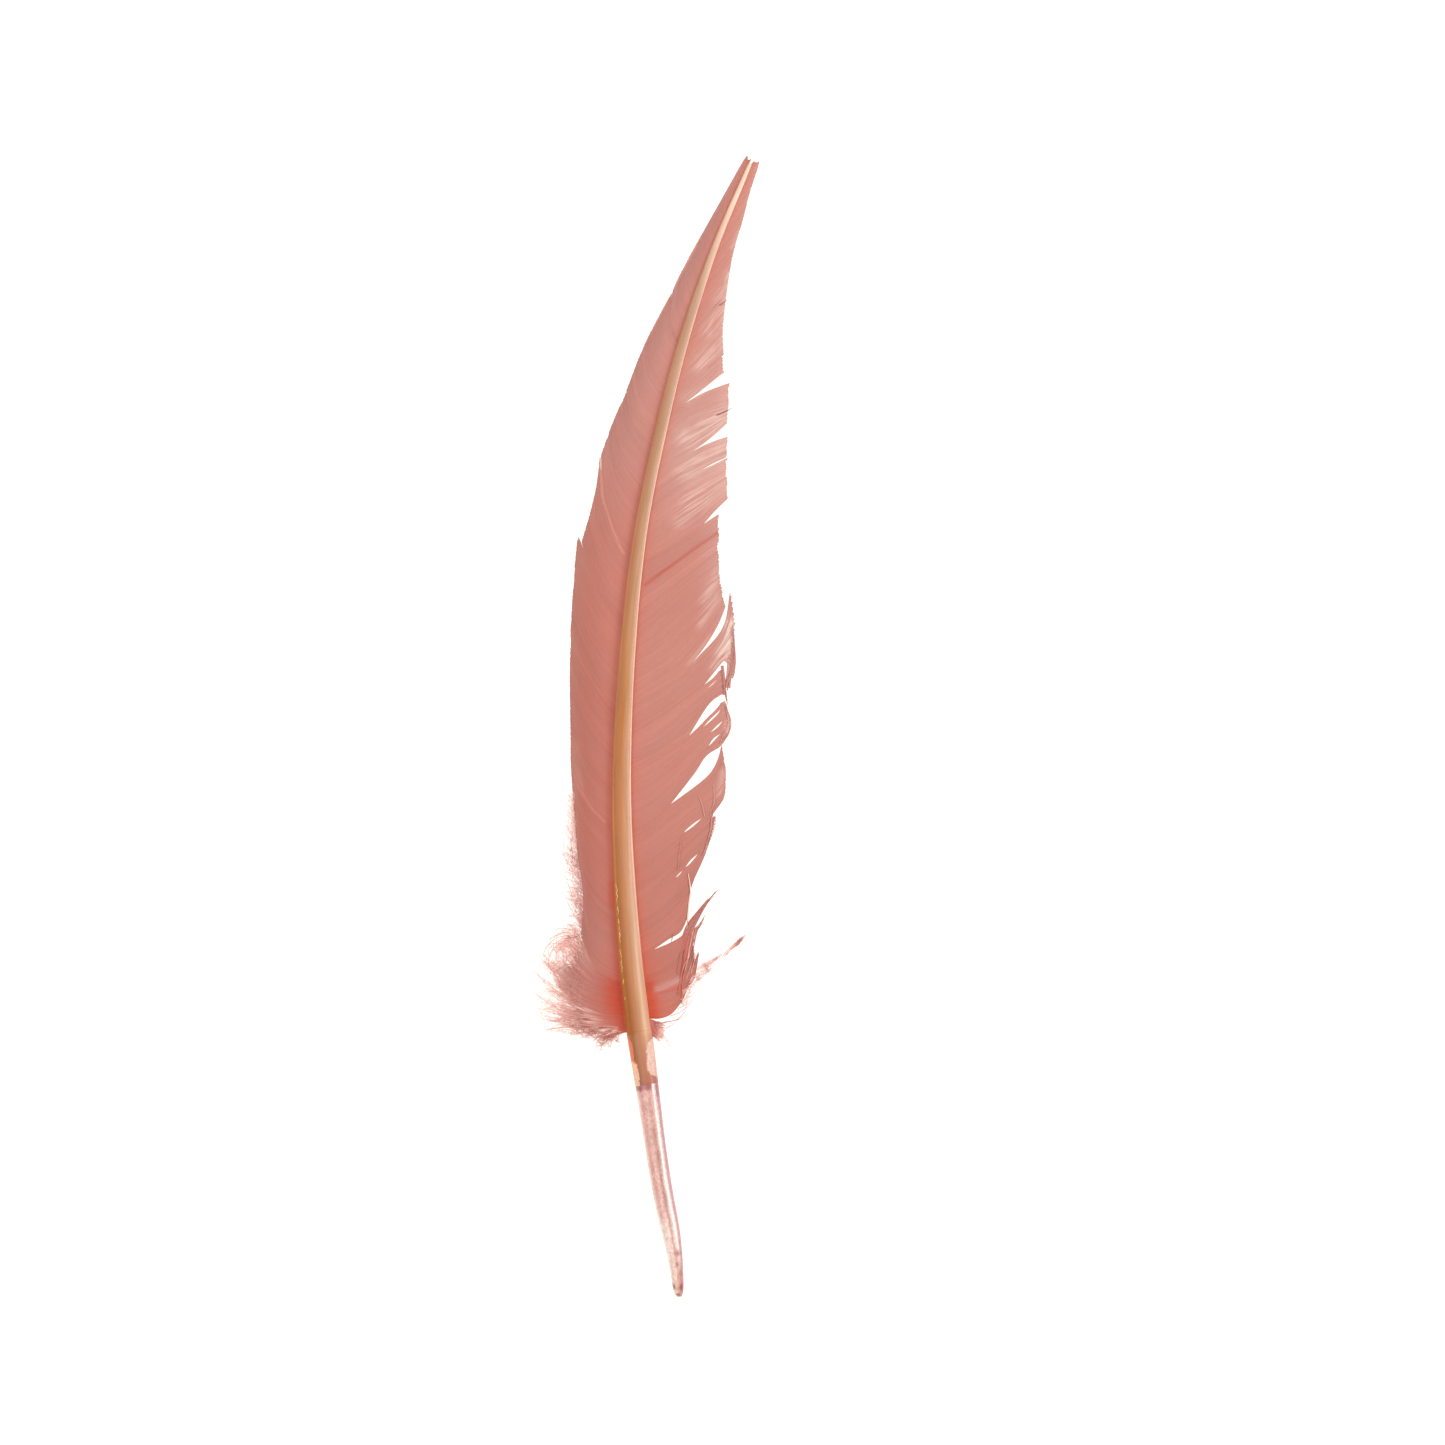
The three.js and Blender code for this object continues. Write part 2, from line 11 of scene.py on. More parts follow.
import bpy
import numpy as np
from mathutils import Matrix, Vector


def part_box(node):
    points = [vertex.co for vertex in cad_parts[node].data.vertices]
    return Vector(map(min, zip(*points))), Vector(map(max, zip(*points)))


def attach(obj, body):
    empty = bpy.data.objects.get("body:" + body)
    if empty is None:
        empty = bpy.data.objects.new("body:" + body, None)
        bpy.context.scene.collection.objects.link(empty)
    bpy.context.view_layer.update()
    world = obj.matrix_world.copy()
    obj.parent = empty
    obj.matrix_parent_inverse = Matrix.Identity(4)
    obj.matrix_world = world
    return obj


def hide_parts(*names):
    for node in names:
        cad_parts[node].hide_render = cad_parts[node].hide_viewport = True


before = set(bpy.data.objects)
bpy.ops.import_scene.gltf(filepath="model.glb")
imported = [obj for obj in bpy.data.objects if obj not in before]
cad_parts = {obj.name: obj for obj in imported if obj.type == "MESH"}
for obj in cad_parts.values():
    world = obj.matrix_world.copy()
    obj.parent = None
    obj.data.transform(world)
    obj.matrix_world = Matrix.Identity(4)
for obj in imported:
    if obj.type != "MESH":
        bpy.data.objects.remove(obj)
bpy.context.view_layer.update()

MM = 0.001
RIGHT = 1
LEFT = -1

# ---------------------------------------------------------------- the CAD model's own shape

BARREL_END = -150
COLLAR = -80
SHAFT_TIP = 148
GAP = 0.3
BARREL_SIDES = 16
BARREL_STEPS = 18
BARREL_WALL = 0.4
TIP_HOLE_RADIUS = 0.3
VANE_ROOT_SHARE = 1.3
VANE_EDGE_HEIGHT = 0.45
VANE_CAMBER = 1.7


def profile(knots):
    """A smooth curve through (station, value) knots, level past both ends."""
    stations, values = np.array(knots, float).T
    before = np.maximum(np.arange(len(stations)) - 1, 0)
    after = np.minimum(np.arange(len(stations)) + 1, len(stations) - 1)
    slopes = (values[after] - values[before]) / (stations[after] - stations[before])

    def curve(station):
        s = np.clip(station, stations[0], stations[-1])
        i = np.clip(np.searchsorted(stations, s, side="right") - 1, 0, len(stations) - 2)
        step = stations[i + 1] - stations[i]
        t = (s - stations[i]) / step
        rise = values[i + 1] - values[i]
        a = slopes[i] * step - rise
        b = rise - slopes[i + 1] * step
        return values[i] + rise * t + t * (1 - t) * (a * (1 - t) + b * t)

    return curve


spine_x = profile([
    (-150, 8.9), (-138, 7.6), (-119, 4), (-94, 0.4), (-76, -2.1), (-56, -4.3), (-30, -5.9),
    (-9, -6.1), (20, -4.6), (49, -1.5), (74, 3.3), (100, 9.7), (125, 17.9), (148, 27.5),
])
barrel_radius = profile([
    (-150, 0.7), (-149, 1.15), (-147, 1.5), (-143, 1.75), (-138, 2.1), (-132, 2.5),
    (-124, 2.65), (-108, 2.8), (-94, 3.05), (COLLAR, 3.35),
])
shaft_half_width = profile([
    (COLLAR, 3.35), (-58, 3.15), (-45, 2.95), (-30, 2.7), (-10, 2.5), (7, 2.3), (33, 1.95),
    (60, 1.65), (86, 1.5), (112, 1.2), (127, 0.9), (141, 0.7), (SHAFT_TIP, 0.52),
])
shaft_half_depth = profile([
    (COLLAR, 3.3), (-30, 2.75), (0, 2.45), (33, 2.1), (60, 1.8), (86, 1.45), (112, 1.05),
    (130, 0.75), (SHAFT_TIP, 0.45),
])
shaft_belly = profile([
    (COLLAR, 0), (-50, 1.2), (-15, 2.8), (20, 3.6), (60, 3.2), (100, 1.9), (130, 0.8), (SHAFT_TIP, 0.3),
])
groove_share = profile([(-74, 1), (-55, 0.74), (100, 0.74), (120, 0.9), (SHAFT_TIP, 1)])
vane_edge = {
    LEFT: profile([
        (-90, -26), (-70, -22), (-50, -18.5), (-17, -19.4), (2, -20.1), (27, -20.1), (49, -18),
        (71, -12.3), (96, -2), (121, 10.9), (148, 25),
    ]),
    RIGHT: profile([
        (-90, 6), (-76, 10), (-60, 14), (-45, 15), (-20, 21), (10, 23.5), (45, 20), (60, 21.7),
        (90, 22), (103, 20.5), (121, 22.8), (148, 29.5),
    ]),
}

# Guide barbs of each panel: (root station, trunk, lip), from the tip's side to the base's. A lip is the
# stretch past a split.

INNER_VANE = [
    [
        (147.7, [(28.6, 148.7)]),
        (144, [(27.9, 146.9), (29.3, 148.4)]),
        (140.5, [(27, 144.5), (29.9, 148)]),
        (132, [(24.5, 136), (27.6, 140.7)]),
        (122.5, [(22, 127), (25.4, 132.3)]),
        (112.5, [(19, 117), (23, 123.8)]),
        (101.5, [(16.5, 107), (21.3, 113)]),
        (91, [(14.5, 97), (20.5, 103.6)]),
        (82.5, [(9.9, 84.6)], [(15, 88.6), (20.8, 93.4)]),
    ],
    [
        (82.5, [(9.9, 84.6)], [(15, 87.5), (18.5, 89), (22.2, 90.4)]),
        (75.5, [(10.5, 80.5), (16.5, 83.3), (22, 84.9)]),
        (67.5, [(10.9, 71.3)], [(16.2, 75.1), (21.7, 79.9)]),
    ],
    [
        (67.5, [(10.9, 71.3)], [(16, 74.1), (21.7, 76.3)]),
        (59, [(9, 64.5), (15.5, 68), (21.6, 71)]),
        (50.5, [(8.5, 56.5), (15, 61), (21.6, 65.4)]),
        (43, [(7, 47.2), (15.1, 53)], [(18.3, 56.7), (21.8, 60.1)]),
    ],
    [
        (43, [(7, 47.2), (15.1, 53)], [(19.7, 56.2)]),
        (36.5, [(6.5, 41.5), (13.5, 46.7), (19.5, 51.2)]),
        (28, [(5.5, 34), (13.5, 40.5), (19.4, 45)]),
        (19, [(5, 24.5), (14, 33), (19.8, 38.3)]),
        (5.5, [(2.5, 9.1), (9.3, 13)], [(15.4, 20.7), (19.1, 26.7), (21.3, 32)]),
    ],
    [
        (5.5, [(2.5, 9.1), (9.3, 13)],
         [(14, 18.2), (17, 21.3), (19.4, 24.2), (21, 27.5), (21.8, 31.5), (22.3, 36)]),
        (1.5, [(5, 7), (14.5, 14.5), (20, 21.3), (23.5, 28)]),
        (-0.4, [(4.6, 4.6), (15, 12.6), (19.6, 18.2), (22.4, 21.4), (23.6, 21.6)]),
        (-2.2, [(4.3, 2.5), (15.4, 10.8)], [(19, 15.4), (21.7, 18.4), (22.3, 16.8), (22, 14), (21.4, 11)]),
    ],
    [
        (-2.2, [(4.3, 2.5), (15.4, 10.8)], [(17.8, 12.5), (20.2, 15.4), (20.6, 13), (20.9, 10)]),
        (-6.5, [(4, -3), (13.5, 5.5), (18, 9.5), (20.4, 11.5), (21.2, 9), (21.6, 5.8)]),
        (-11.5, [(2.5, -8), (11.2, -2.8)], [(14.3, 2.2), (17, 6.2), (20.4, 8.8), (21.2, 7.6), (21.6, 5.7)]),
    ],
    [
        (-11.5, [(2.5, -8), (11.2, -2.8)], [(15.5, 1.2), (18.6, 4.3), (20.6, 7), (21.7, 4.4)]),
        (-19.5, [(4, -14.5), (14.5, -5), (20, 0.6), (21.8, 2.2), (22.3, 0), (21.3, -2.6)]),
        (-28, [(1.2, -25.4), (6.4, -20.7)], [(13, -12.2), (15.7, -8), (19.4, -5.3), (20.3, -4.3)]),
    ],
    [
        (-28, [(1.2, -25.4), (6.4, -20.7)], [(14.1, -15.1), (17.6, -11.7), (19.3, -8), (20, -4.4)]),
        (-32.5, [(2.5, -29), (12, -21.5), (19, -16.5), (21.2, -11.7)]),
        (-37, [(3.5, -33), (13, -25.5), (18.6, -21), (20.9, -18.3)]),
        (-40.5, [(3.7, -36.3), (12.4, -28.6), (16.3, -25), (18, -22.6)]),
        (-44.5, [(4, -39.5), (12, -31.5), (16.4, -27.3), (18.6, -24.8)]),
        (-52, [(3.5, -48), (9.6, -42.2), (13.8, -37), (16.1, -32.8)]),
    ],
    [
        (-52, [(3.5, -48), (9.6, -42.2), (13.8, -37), (16.1, -32.8)]),
        (-56.5, [(3.5, -53), (8, -49), (11.2, -44.3), (12.2, -41.7)]),
        (-61, [(1.4, -59.1)], [(6, -55.9), (9.3, -53.8), (11.2, -49.9)]),
    ],
    [
        (-61, [(1.4, -59.1)], [(7, -56.7), (10.1, -54.6), (12.2, -51.5)]),
        (-65.5, [(4.5, -63), (9.6, -59), (12.5, -56)]),
        (-69.5, [(5, -67.5), (10, -64.5), (13, -61)]),
        (-73.5, [(5, -72), (8.8, -70), (12.2, -66)]),
        (-77, [(4, -76.6), (7, -75.4), (9.9, -72)]),
    ],
]
OUTER_VANE = [
    [
        (147.7, [(27.8, 149.3)]),
        (143, [(25.9, 146.2), (27, 149.1)]),
        (138, [(23.6, 143), (26.2, 149.5)]),
        (127.5, [(17.8, 132.5), (20.1, 138.8)]),
        (116, [(12.8, 121.2), (14.3, 128.6)]),
        (104.5, [(8.3, 110.5), (9.3, 119.4)]),
        (100, [(6.2, 106), (7.3, 114.9)]),
    ],
    [
        (100, [(6.2, 106), (7, 114.4)]),
        (86, [(0.7, 93.3), (-0.1, 100.9)]),
        (73, [(-3.8, 80.7), (-5.1, 88.3)]),
        (59, [(-7.2, 69), (-8.8, 79.6)]),
        (44.5, [(-8.3, 50.4), (-11.2, 59.6), (-11.8, 71.2)]),
    ],
    [
        (44.5, [(-8.3, 50.4), (-11.2, 59.6), (-11.8, 71.2)]),
        (36, [(-10.7, 43.5), (-13.1, 51.7), (-13.8, 59.3)]),
        (27.5, [(-11.2, 34.6), (-14.9, 43), (-16.8, 48.7)]),
    ],
    [
        (27.5, [(-11.2, 34.6), (-14.9, 43), (-17.8, 50.6)]),
        (17, [(-12.8, 24.3), (-17, 33.3), (-18.8, 40.1)]),
        (3.5, [(-12.2, 9), (-17.1, 18), (-19.7, 25.8)]),
    ],
    [
        (3.5, [(-12.2, 9), (-17.1, 18), (-19.7, 25.8)]),
        (-9.5, [(-13.6, -3), (-18, 5), (-19.9, 12.2)]),
        (-26, [(-14.3, -21), (-17.3, -15.6), (-19.7, -8.6)]),
    ],
    [
        (-26, [(-14.3, -21), (-17.3, -15.6), (-19.7, -8.6)]),
        (-38.5, [(-13.6, -33), (-17.2, -26.5), (-19.1, -18.8)]),
        (-52.5, [(-12.5, -48.6), (-15.8, -42.8), (-17.9, -32.8)]),
    ],
    [
        (-52.5, [(-12.5, -48.6), (-15.8, -42.8), (-17.9, -32.8)]),
        (-60, [(-12, -57), (-15.1, -52), (-16.4, -43.8)]),
        (-67, [(-11.2, -65), (-14.6, -61), (-17, -54.6)]),
    ],
]
# Guides of the downy fan at the base.
FAN = [
    (-67, [(-11.2, -65), (-14.6, -61), (-17, -54.6)]),
    (-71, [(-12.5, -70), (-18.5, -66.8), (-23.8, -61.6)]),
    (-75, [(-12.5, -74.8), (-19, -71.8), (-24.5, -67)]),
    (-78, [(-10.5, -78.2), (-15.5, -78.6), (-20, -77.6)]),
    (-79.8, [(-6.9, -80.3), (-8.4, -81.2), (-9.8, -82.4)]),
]
STRANDS = {
    "edge_strand_1": [(21.3, 9.4), (22, 11.6), (23, 14.8), (23.25, 19.5), (22.9, 27.5)],
    "edge_strand_3": [(20.2, 16), (20.7, 12.4), (21, 8.4), (21.7, 5.2)],
    "edge_strand_4": [(22, 22), (22.2, 17), (22, 14), (21.4, 10.6)],
    "edge_strand_5": [(21.4, 10.2), (21.9, 13), (21.9, 16), (21.9, 20.5)],
    "edge_strand_2": [(19.9, -4.9), (20.4, -3.2), (21.5, -1.8), (22.1, 1), (21.4, 4.4), (20.8, 7)],
    "spike_strand_1": [(9, -66), (10, -60), (11, -54.6), (12.6, -51.4), (15.2, -47.4), (19.3, -42.8)],
    "spike_strand_2": [(11.2, -63), (12.2, -57), (13.2, -53.6), (14.3, -52.2), (15.8, -49.6)],
    "spike_strand_3": [(10, -68.2), (11.6, -66.4), (12.8, -63.4), (14, -59.2)],
}
# Pale wisps low on the right: (path, barbs, width, thickness, barbules per barb, even share).
WISPS = [
    ([(12, -68), (14.6, -65.2), (18.5, -63.4)], 7, 2, 0.08, 26, 0.3),
    ([(13.5, -64.8), (16.4, -62.6), (20.4, -59.8)], 9, 1.8, 0.1, 30, 0.3),
    ([(20.4, -61), (22.4, -58.6), (24.6, -56.6), (26.4, -54.9)], 12, 0.8, 0.15, 9, 0.6),
    ([(10, -71), (12, -68.6), (14.8, -65.6)], 5, 1.6, 0.07, 18, 0.3),
    ([(9.6, -74.5), (10.6, -72), (11.8, -69.6)], 5, 1.4, 0.07, 16, 0.3),
]
WOOL_ROOTS = [(-15.4, -57), (-15.6, -47), (-16.2, -38), (-17.2, -28), (-18.2, -18)]
WOOL_ENDS = [(-21, -57), (-20.6, -46), (-22, -36), (-22, -27), (-20.6, -17)]
PULP_CAPS = 5


def across_shaft(station):
    """Unit vector square to the shaft in plan, to its right."""
    lean = spine_x(station + 0.5) - spine_x(station - 0.5)
    length = np.hypot(1, lean)
    return np.stack([1 / length, -lean / length], -1)


def beside_shaft(station, offset):
    """Plan points at these stations of the shaft, so far to its right."""
    station = np.asarray(station, float)
    return np.stack([spine_x(station), station], -1) + across_shaft(station) * np.asarray(offset)[..., None]


def shaft_middle(station):
    return shaft_belly(station) + shaft_half_depth(station)


def shaft_side(side, station):
    return spine_x(station) + side * shaft_half_width(station)


def vane_share(side, x, y):
    """How far over the vane a plan point is: 0 at the shaft, 1 at the vane's edge."""
    root = shaft_side(side, y)
    return np.clip((x - root) / (vane_edge[side](y) - root), 0, 1)


def vane_height(side, x, y):
    root = shaft_belly(y) + VANE_ROOT_SHARE * shaft_half_depth(y)
    return root + (VANE_EDGE_HEIGHT - root) * vane_share(side, x, y) ** VANE_CAMBER


def barrel_middle(station):
    """Height of the CAD barrel's centre line, whose lowest facet lies on the table."""
    return barrel_radius(station) * math.cos(math.pi / BARREL_SIDES)


def frame_shift():
    """Where the plan's own origin is in the frame, found from the barrel's box."""
    stations = np.linspace(BARREL_END, COLLAR - GAP / 2, BARREL_STEPS + 1)
    reach = barrel_radius(stations) * math.cos(math.pi / BARREL_SIDES)
    rims = np.concatenate([beside_shaft(stations, reach), beside_shaft(stations, -reach)])
    low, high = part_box("quill_barrel")
    middle = np.array([low.x + high.x, low.y + high.y]) / 2 / MM
    return middle - (rims.min(0) + rims.max(0)) / 2


SHIFT = np.array([*frame_shift(), 0])

# ---------------------------------------------------------------- curves

FINE = np.linspace(0, 1, 40)


def catmull_rom(points, t):
    """Points at t (0 to 1) on the curve through the points."""
    points = np.asarray(points, float)
    last = len(points) - 1
    place = np.clip(t, 0, 1) * last
    i = np.minimum(place.astype(int), last - 1)
    return hermite(points[np.maximum(i - 1, 0)], points[i], points[i + 1],
                   points[np.minimum(i + 2, last)], (place - i)[..., None])


def hermite(p0, p1, p2, p3, w):
    v0 = (p2 - p0) / 2
    v1 = (p3 - p1) / 2
    return (2 * p1 - 2 * p2 + v0 + v1) * w ** 3 + (3 * p2 - 3 * p1 - 2 * v0 - v1) * w ** 2 + v0 * w + p1


def by_length(line, share):
    """Points at these shares of a polyline's length."""
    run = np.concatenate([[0], np.cumsum(np.linalg.norm(np.diff(line, axis=0), axis=1))])
    return np.stack([np.interp(share * run[-1], run, line[:, k]) for k in range(line.shape[1])], -1)


def guide_path(side, guide, reach):
    """Plan points of a guide barb at these shares of its length. It starts just inside the shaft's side."""
    root, trunk, *lips = guide
    start = beside_shaft(root, side * (shaft_half_width(root) - ROOT_SINK))
    line = catmull_rom([start, *trunk], FINE)
    if lips:
        line = np.concatenate([line, catmull_rom([trunk[-1], *lips[0]], FINE)[1:]])
    return by_length(line, reach)


def between_guides(paths, t):
    """Points of barbs between guides. paths is (guides, samples, 2), t is (barbs, samples), 0 to 1."""
    last = len(paths) - 1
    place = np.clip(t, 0, 1) * last
    i = np.minimum(place.astype(int), last - 1)
    j = np.arange(paths.shape[1])
    return hermite(paths[np.maximum(i - 1, 0), j], paths[i, j], paths[i + 1, j],
                   paths[np.minimum(i + 2, last), j], (place - i)[..., None])


def smoothstep(low, high, x):
    t = np.clip((x - low) / (high - low), 0, 1)
    return t * t * (3 - 2 * t)


def unit(v):
    return v / np.maximum(np.linalg.norm(v, axis=-1, keepdims=True), 1e-9)


def raised(plan, height):
    """Plan points lifted to these heights."""
    return np.concatenate([plan, height[..., None]], -1)


def tapering(radius, loss, run, count):
    """The radii of some hairs that lose this share of their radius along the run."""
    return radius * (1 - loss * run)[None] * np.ones((count, 1))


def random_for(name):
    return np.random.default_rng(zlib.crc32(name.encode()))


# ---------------------------------------------------------------- meshes

DIAMOND = np.array([(1, 0), (0, 1), (-1, 0), (0, -1)], float)


ATTRIBUTE_KINDS = {
    "dye": ("FLOAT_COLOR", "color"),
    "shade": ("FLOAT", "value"),
    "grain": ("FLOAT_VECTOR", "vector"),
    "along": ("FLOAT_VECTOR", "vector"),
}


def piece(name, points, faces, slot, look, replaces=(), smooth=True, **attributes):
    """A mesh piece that rides with the quill. points are (n, 3), in millimetres."""
    mesh = bpy.data.meshes.new(name)
    mesh.from_pydata((points + SHIFT) * MM, [], faces)
    if smooth:
        mesh.shade_smooth()
    for key, values in attributes.items():
        kind, field = ATTRIBUTE_KINDS[key]
        if key == "dye":
            values = np.insert(np.reshape(values, (-1, 3)), 3, 1, axis=1)
        made = mesh.attributes.new(key, kind, "POINT")
        made.data.foreach_set(field, np.asarray(values, np.float32).ravel())
    mesh.materials.append(look)
    made = bpy.data.objects.new(name, mesh)
    bpy.context.scene.collection.objects.link(made)
    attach(made, "root")
    if replaces:
        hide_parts(*replaces)
    return made


def strip_mesh(centre, across, up):
    """Closed four-sided strips. centre, across and up are (strips, samples, 3)."""
    count, samples, _ = centre.shape
    sides = len(DIAMOND)
    sideways = DIAMOND[:, 0, None] * across[:, :, None]
    points = centre[:, :, None] + sideways + DIAMOND[:, 1, None] * up[:, :, None]
    index = np.arange(count * samples * sides).reshape(count, samples, sides)
    here, there = index[:, :-1], index[:, 1:]
    turned = np.roll(here, -1, axis=2), np.roll(there, -1, axis=2)
    walls = np.stack([here, turned[0], turned[1], there], -1).reshape(-1, 4)
    caps = np.concatenate([index[:, 0, ::-1], index[:, -1]])
    return points.reshape(-1, 3), np.concatenate([walls, caps])


def spread(values, samples=None):
    """One value for each strip (or each strip and sample), repeated for each vertex."""
    values = np.asarray(values, float)
    if samples:
        values = np.repeat(values[:, None], samples, axis=1)
    return np.repeat(values.reshape(-1, *values.shape[2:]), len(DIAMOND), axis=0)


def tube_mesh(rings):
    """A closed tube from rings of points (stations, sides, 3), its ends filled."""
    stations, sides, _ = rings.shape
    index = np.arange(stations * sides).reshape(stations, sides)
    turned = np.roll(index, -1, axis=1)
    walls = np.stack([index[:-1], turned[:-1], turned[1:], index[1:]], -1).reshape(-1, 4)
    return rings.reshape(-1, 3), walls.tolist() + [index[0, ::-1].tolist(), index[-1].tolist()]


# ---------------------------------------------------------------- colours

def linear(colour):
    """Linear red, green and blue of an 8-bit display colour."""
    c = np.asarray(colour, float) / 255
    return np.where(c <= 0.04045, c / 12.92, ((c + 0.055) / 1.055) ** 2.4)


def over(colour, tint, cover):
    """A colour covered by a tint. Where cover is 1, only the tint shows."""
    return colour * (1 - cover) + tint * cover


def palette(*keys):
    """A smooth run of colours along the quill, from (station, red, green, blue) keys."""
    channels = [profile([(s, linear(c)[k]) for s, *c in sorted(keys)]) for k in range(3)]
    return lambda station: np.stack([channel(station) for channel in channels], -1)


def columns(*rows):
    """Columns of colours: for each its share across, and its palette's keys."""
    return [(share, palette(*keys)) for share, *keys in rows]


VANE_MIDDLE = {
    LEFT: palette(
        (148, 205, 145, 133), (120, 206, 145, 135), (73, 204, 139, 126), (46, 201, 126, 110),
        (-32, 199, 119, 102), (-60, 193, 122, 109), (-80, 194, 122, 108),
    ),
    RIGHT: palette(
        (148, 214, 146, 132), (105, 208, 141, 127), (74, 210, 153, 141), (46, 204, 135, 121),
        (7, 204, 134, 120), (-40, 197, 124, 109), (-60, 195, 119, 104), (-80, 194, 114, 97),
    ),
}
VANE_ROOT = {
    LEFT: palette((148, 196, 120, 98), (60, 198, 110, 88), (-20, 198, 98, 72), (-72, 203, 76, 44),
                  (-80, 197, 94, 70)),
    RIGHT: palette((148, 214, 132, 112), (60, 210, 120, 100), (-30, 210, 110, 86), (-80, 212, 76, 36)),
}
VANE_EDGE = {
    LEFT: palette((148, 206, 148, 138), (20, 198, 136, 124), (-60, 196, 138, 128), (-80, 200, 140, 130)),
    RIGHT: palette((148, 220, 158, 144), (80, 224, 172, 160), (0, 202, 140, 129), (-80, 190, 122, 108)),
}
DYE_DEPTH = {LEFT: np.array([0.9, 0.87, 0.88]), RIGHT: np.array([0.84, 0.83, 0.83])}
# Tints of painted sheen: silky highlights painted into the vanes' colour.
PAINTED_SHEEN = (232, 188, 176)
PALE_PAINTED_SHEEN = (244, 210, 198)
# Crease colour: painted shade along the vane's creases.
CREASE_PAINTED_SHADE = (194, 88, 70)
# Fold colour: a painted highlight along the closed splits of the left vane.
FOLD_PAINTED_HIGHLIGHT = (232, 160, 146)
STAIN = (202, 70, 34)
MAUVE = (184, 124, 118)
PALE_DOWN = (247, 214, 205)

# Marks on the vanes: (line, half width, colour, strength). A patch of painted sheen varies from barb to
# barb.

MARKS = {
    RIGHT: [
        ([(0, 37.2), (6.5, 42), (13.5, 47.2), (19.4, 51.3)], 0.52, CREASE_PAINTED_SHADE, 0.65),
        ([(1, -68), (2, -78)], 1.7, STAIN, 0.9),
        ([(2, -69), (8, -67.8)], 0.5, STAIN, 0.6),
        ([(10.6, -55), (9.8, -64), (8.8, -70)], 0.7, STAIN, 0.35),
        # A painted highlight: pale greyish streaks low on the inner vane.
        ([(3.3, -68.9), (8.6, -66.6)], 1, (208, 158, 150), 0.7),
        ([(2.7, -70.3), (8.2, -68.7)], 0.5, CREASE_PAINTED_SHADE, 0.7),
        ([(4, -71), (8, -69.6)], 0.7, MAUVE, 0.4),
    ],
    LEFT: [
        ([(-5.9, 45.7), (-8.4, 51.5), (-11.2, 60.6), (-11.8, 69)], 0.28, FOLD_PAINTED_HIGHLIGHT, 0.6),
        ([(-10.5, -25), (-14.3, -21.2), (-16.6, -17)], 0.34, FOLD_PAINTED_HIGHLIGHT, 0.32),
        ([(-8, -69), (-7.4, -73.5)], 3.3, STAIN, 0.7),
        ([(-8.4, -41), (-8.6, -47)], 1, STAIN, 0.5),
        ([(-6.2, -75), (-5.8, -79)], 1.7, STAIN, 0.5),
    ],
}
# Patches of painted sheen on the vanes: (line, half width, colour, strength).
PAINTED_SHEEN_PATCHES = {
    RIGHT: [
        ([(19, 112), (22.4, 119)], 1.3, PAINTED_SHEEN, 0.5),
        ([(22.4, 118.5), (21.6, 106)], 1.3, PALE_PAINTED_SHEEN, 0.9),
        ([(16.5, 104), (21, 113)], 2, PAINTED_SHEEN, 0.5),
        ([(14.5, 95), (20.5, 101)], 2.4, PAINTED_SHEEN, 0.6),
        ([(11, 86), (20.5, 92.5)], 1.6, PAINTED_SHEEN, 0.5),
        ([(11, 76), (21.5, 82)], 3.4, PALE_PAINTED_SHEEN, 0.46),
        ([(11, 67), (21.5, 73.5)], 3, PALE_PAINTED_SHEEN, 0.46),
        ([(12, 59), (21.5, 66)], 2.8, PAINTED_SHEEN, 0.6),
        ([(9, 54), (16, 60)], 2, PAINTED_SHEEN, 0.4),
        ([(15.4, 33), (19.5, 41)], 1.3, PAINTED_SHEEN, 0.5),
        ([(14.5, 27), (18.6, 34)], 1.3, PAINTED_SHEEN, 0.4),
        ([(12, 17), (16.5, 23)], 1.2, PAINTED_SHEEN, 0.25),
        ([(20, 19.5), (22, 22.5), (22.6, 27)], 1.6, (255, 226, 212), 0.9),
        ([(22.6, 17), (21.8, 12)], 1.1, PALE_PAINTED_SHEEN, 0.7),
        ([(18, 16), (22.4, 20)], 1.3, PAINTED_SHEEN, 0.6),
        ([(19.3, -17.5), (20.3, -12)], 0.9, PAINTED_SHEEN, 0.5),
        ([(21.6, -1.5), (21.2, 3)], 0.8, PAINTED_SHEEN, 0.5),
        ([(23, 126), (24.6, 130)], 0.9, PAINTED_SHEEN, 0.5),
    ],
    LEFT: [
        ([(-17, -15), (-18.6, -5)], 1.4, PAINTED_SHEEN, 0.2),
    ],
}


def from_line(x, y, path):
    """How far plan points are from a line."""
    nearest = np.full(np.shape(x), np.inf)
    for (ax, ay), (bx, by) in zip(path, path[1:]):
        dx, dy = bx - ax, by - ay
        t = np.clip(((x - ax) * dx + (y - ay) * dy) / (dx * dx + dy * dy), 0, 1)
        nearest = np.minimum(nearest, np.hypot(x - ax - t * dx, y - ay - t * dy))
    return nearest


def marked(x, y, colour, marks, share=1):
    """The colour with some marks laid over it."""
    for path, width, tint, strength in marks:
        cover = (strength * share * np.exp(-(from_line(x, y, path) / width) ** 2))[..., None]
        colour = over(colour, linear(tint), np.clip(cover, 0, 1))
    return colour


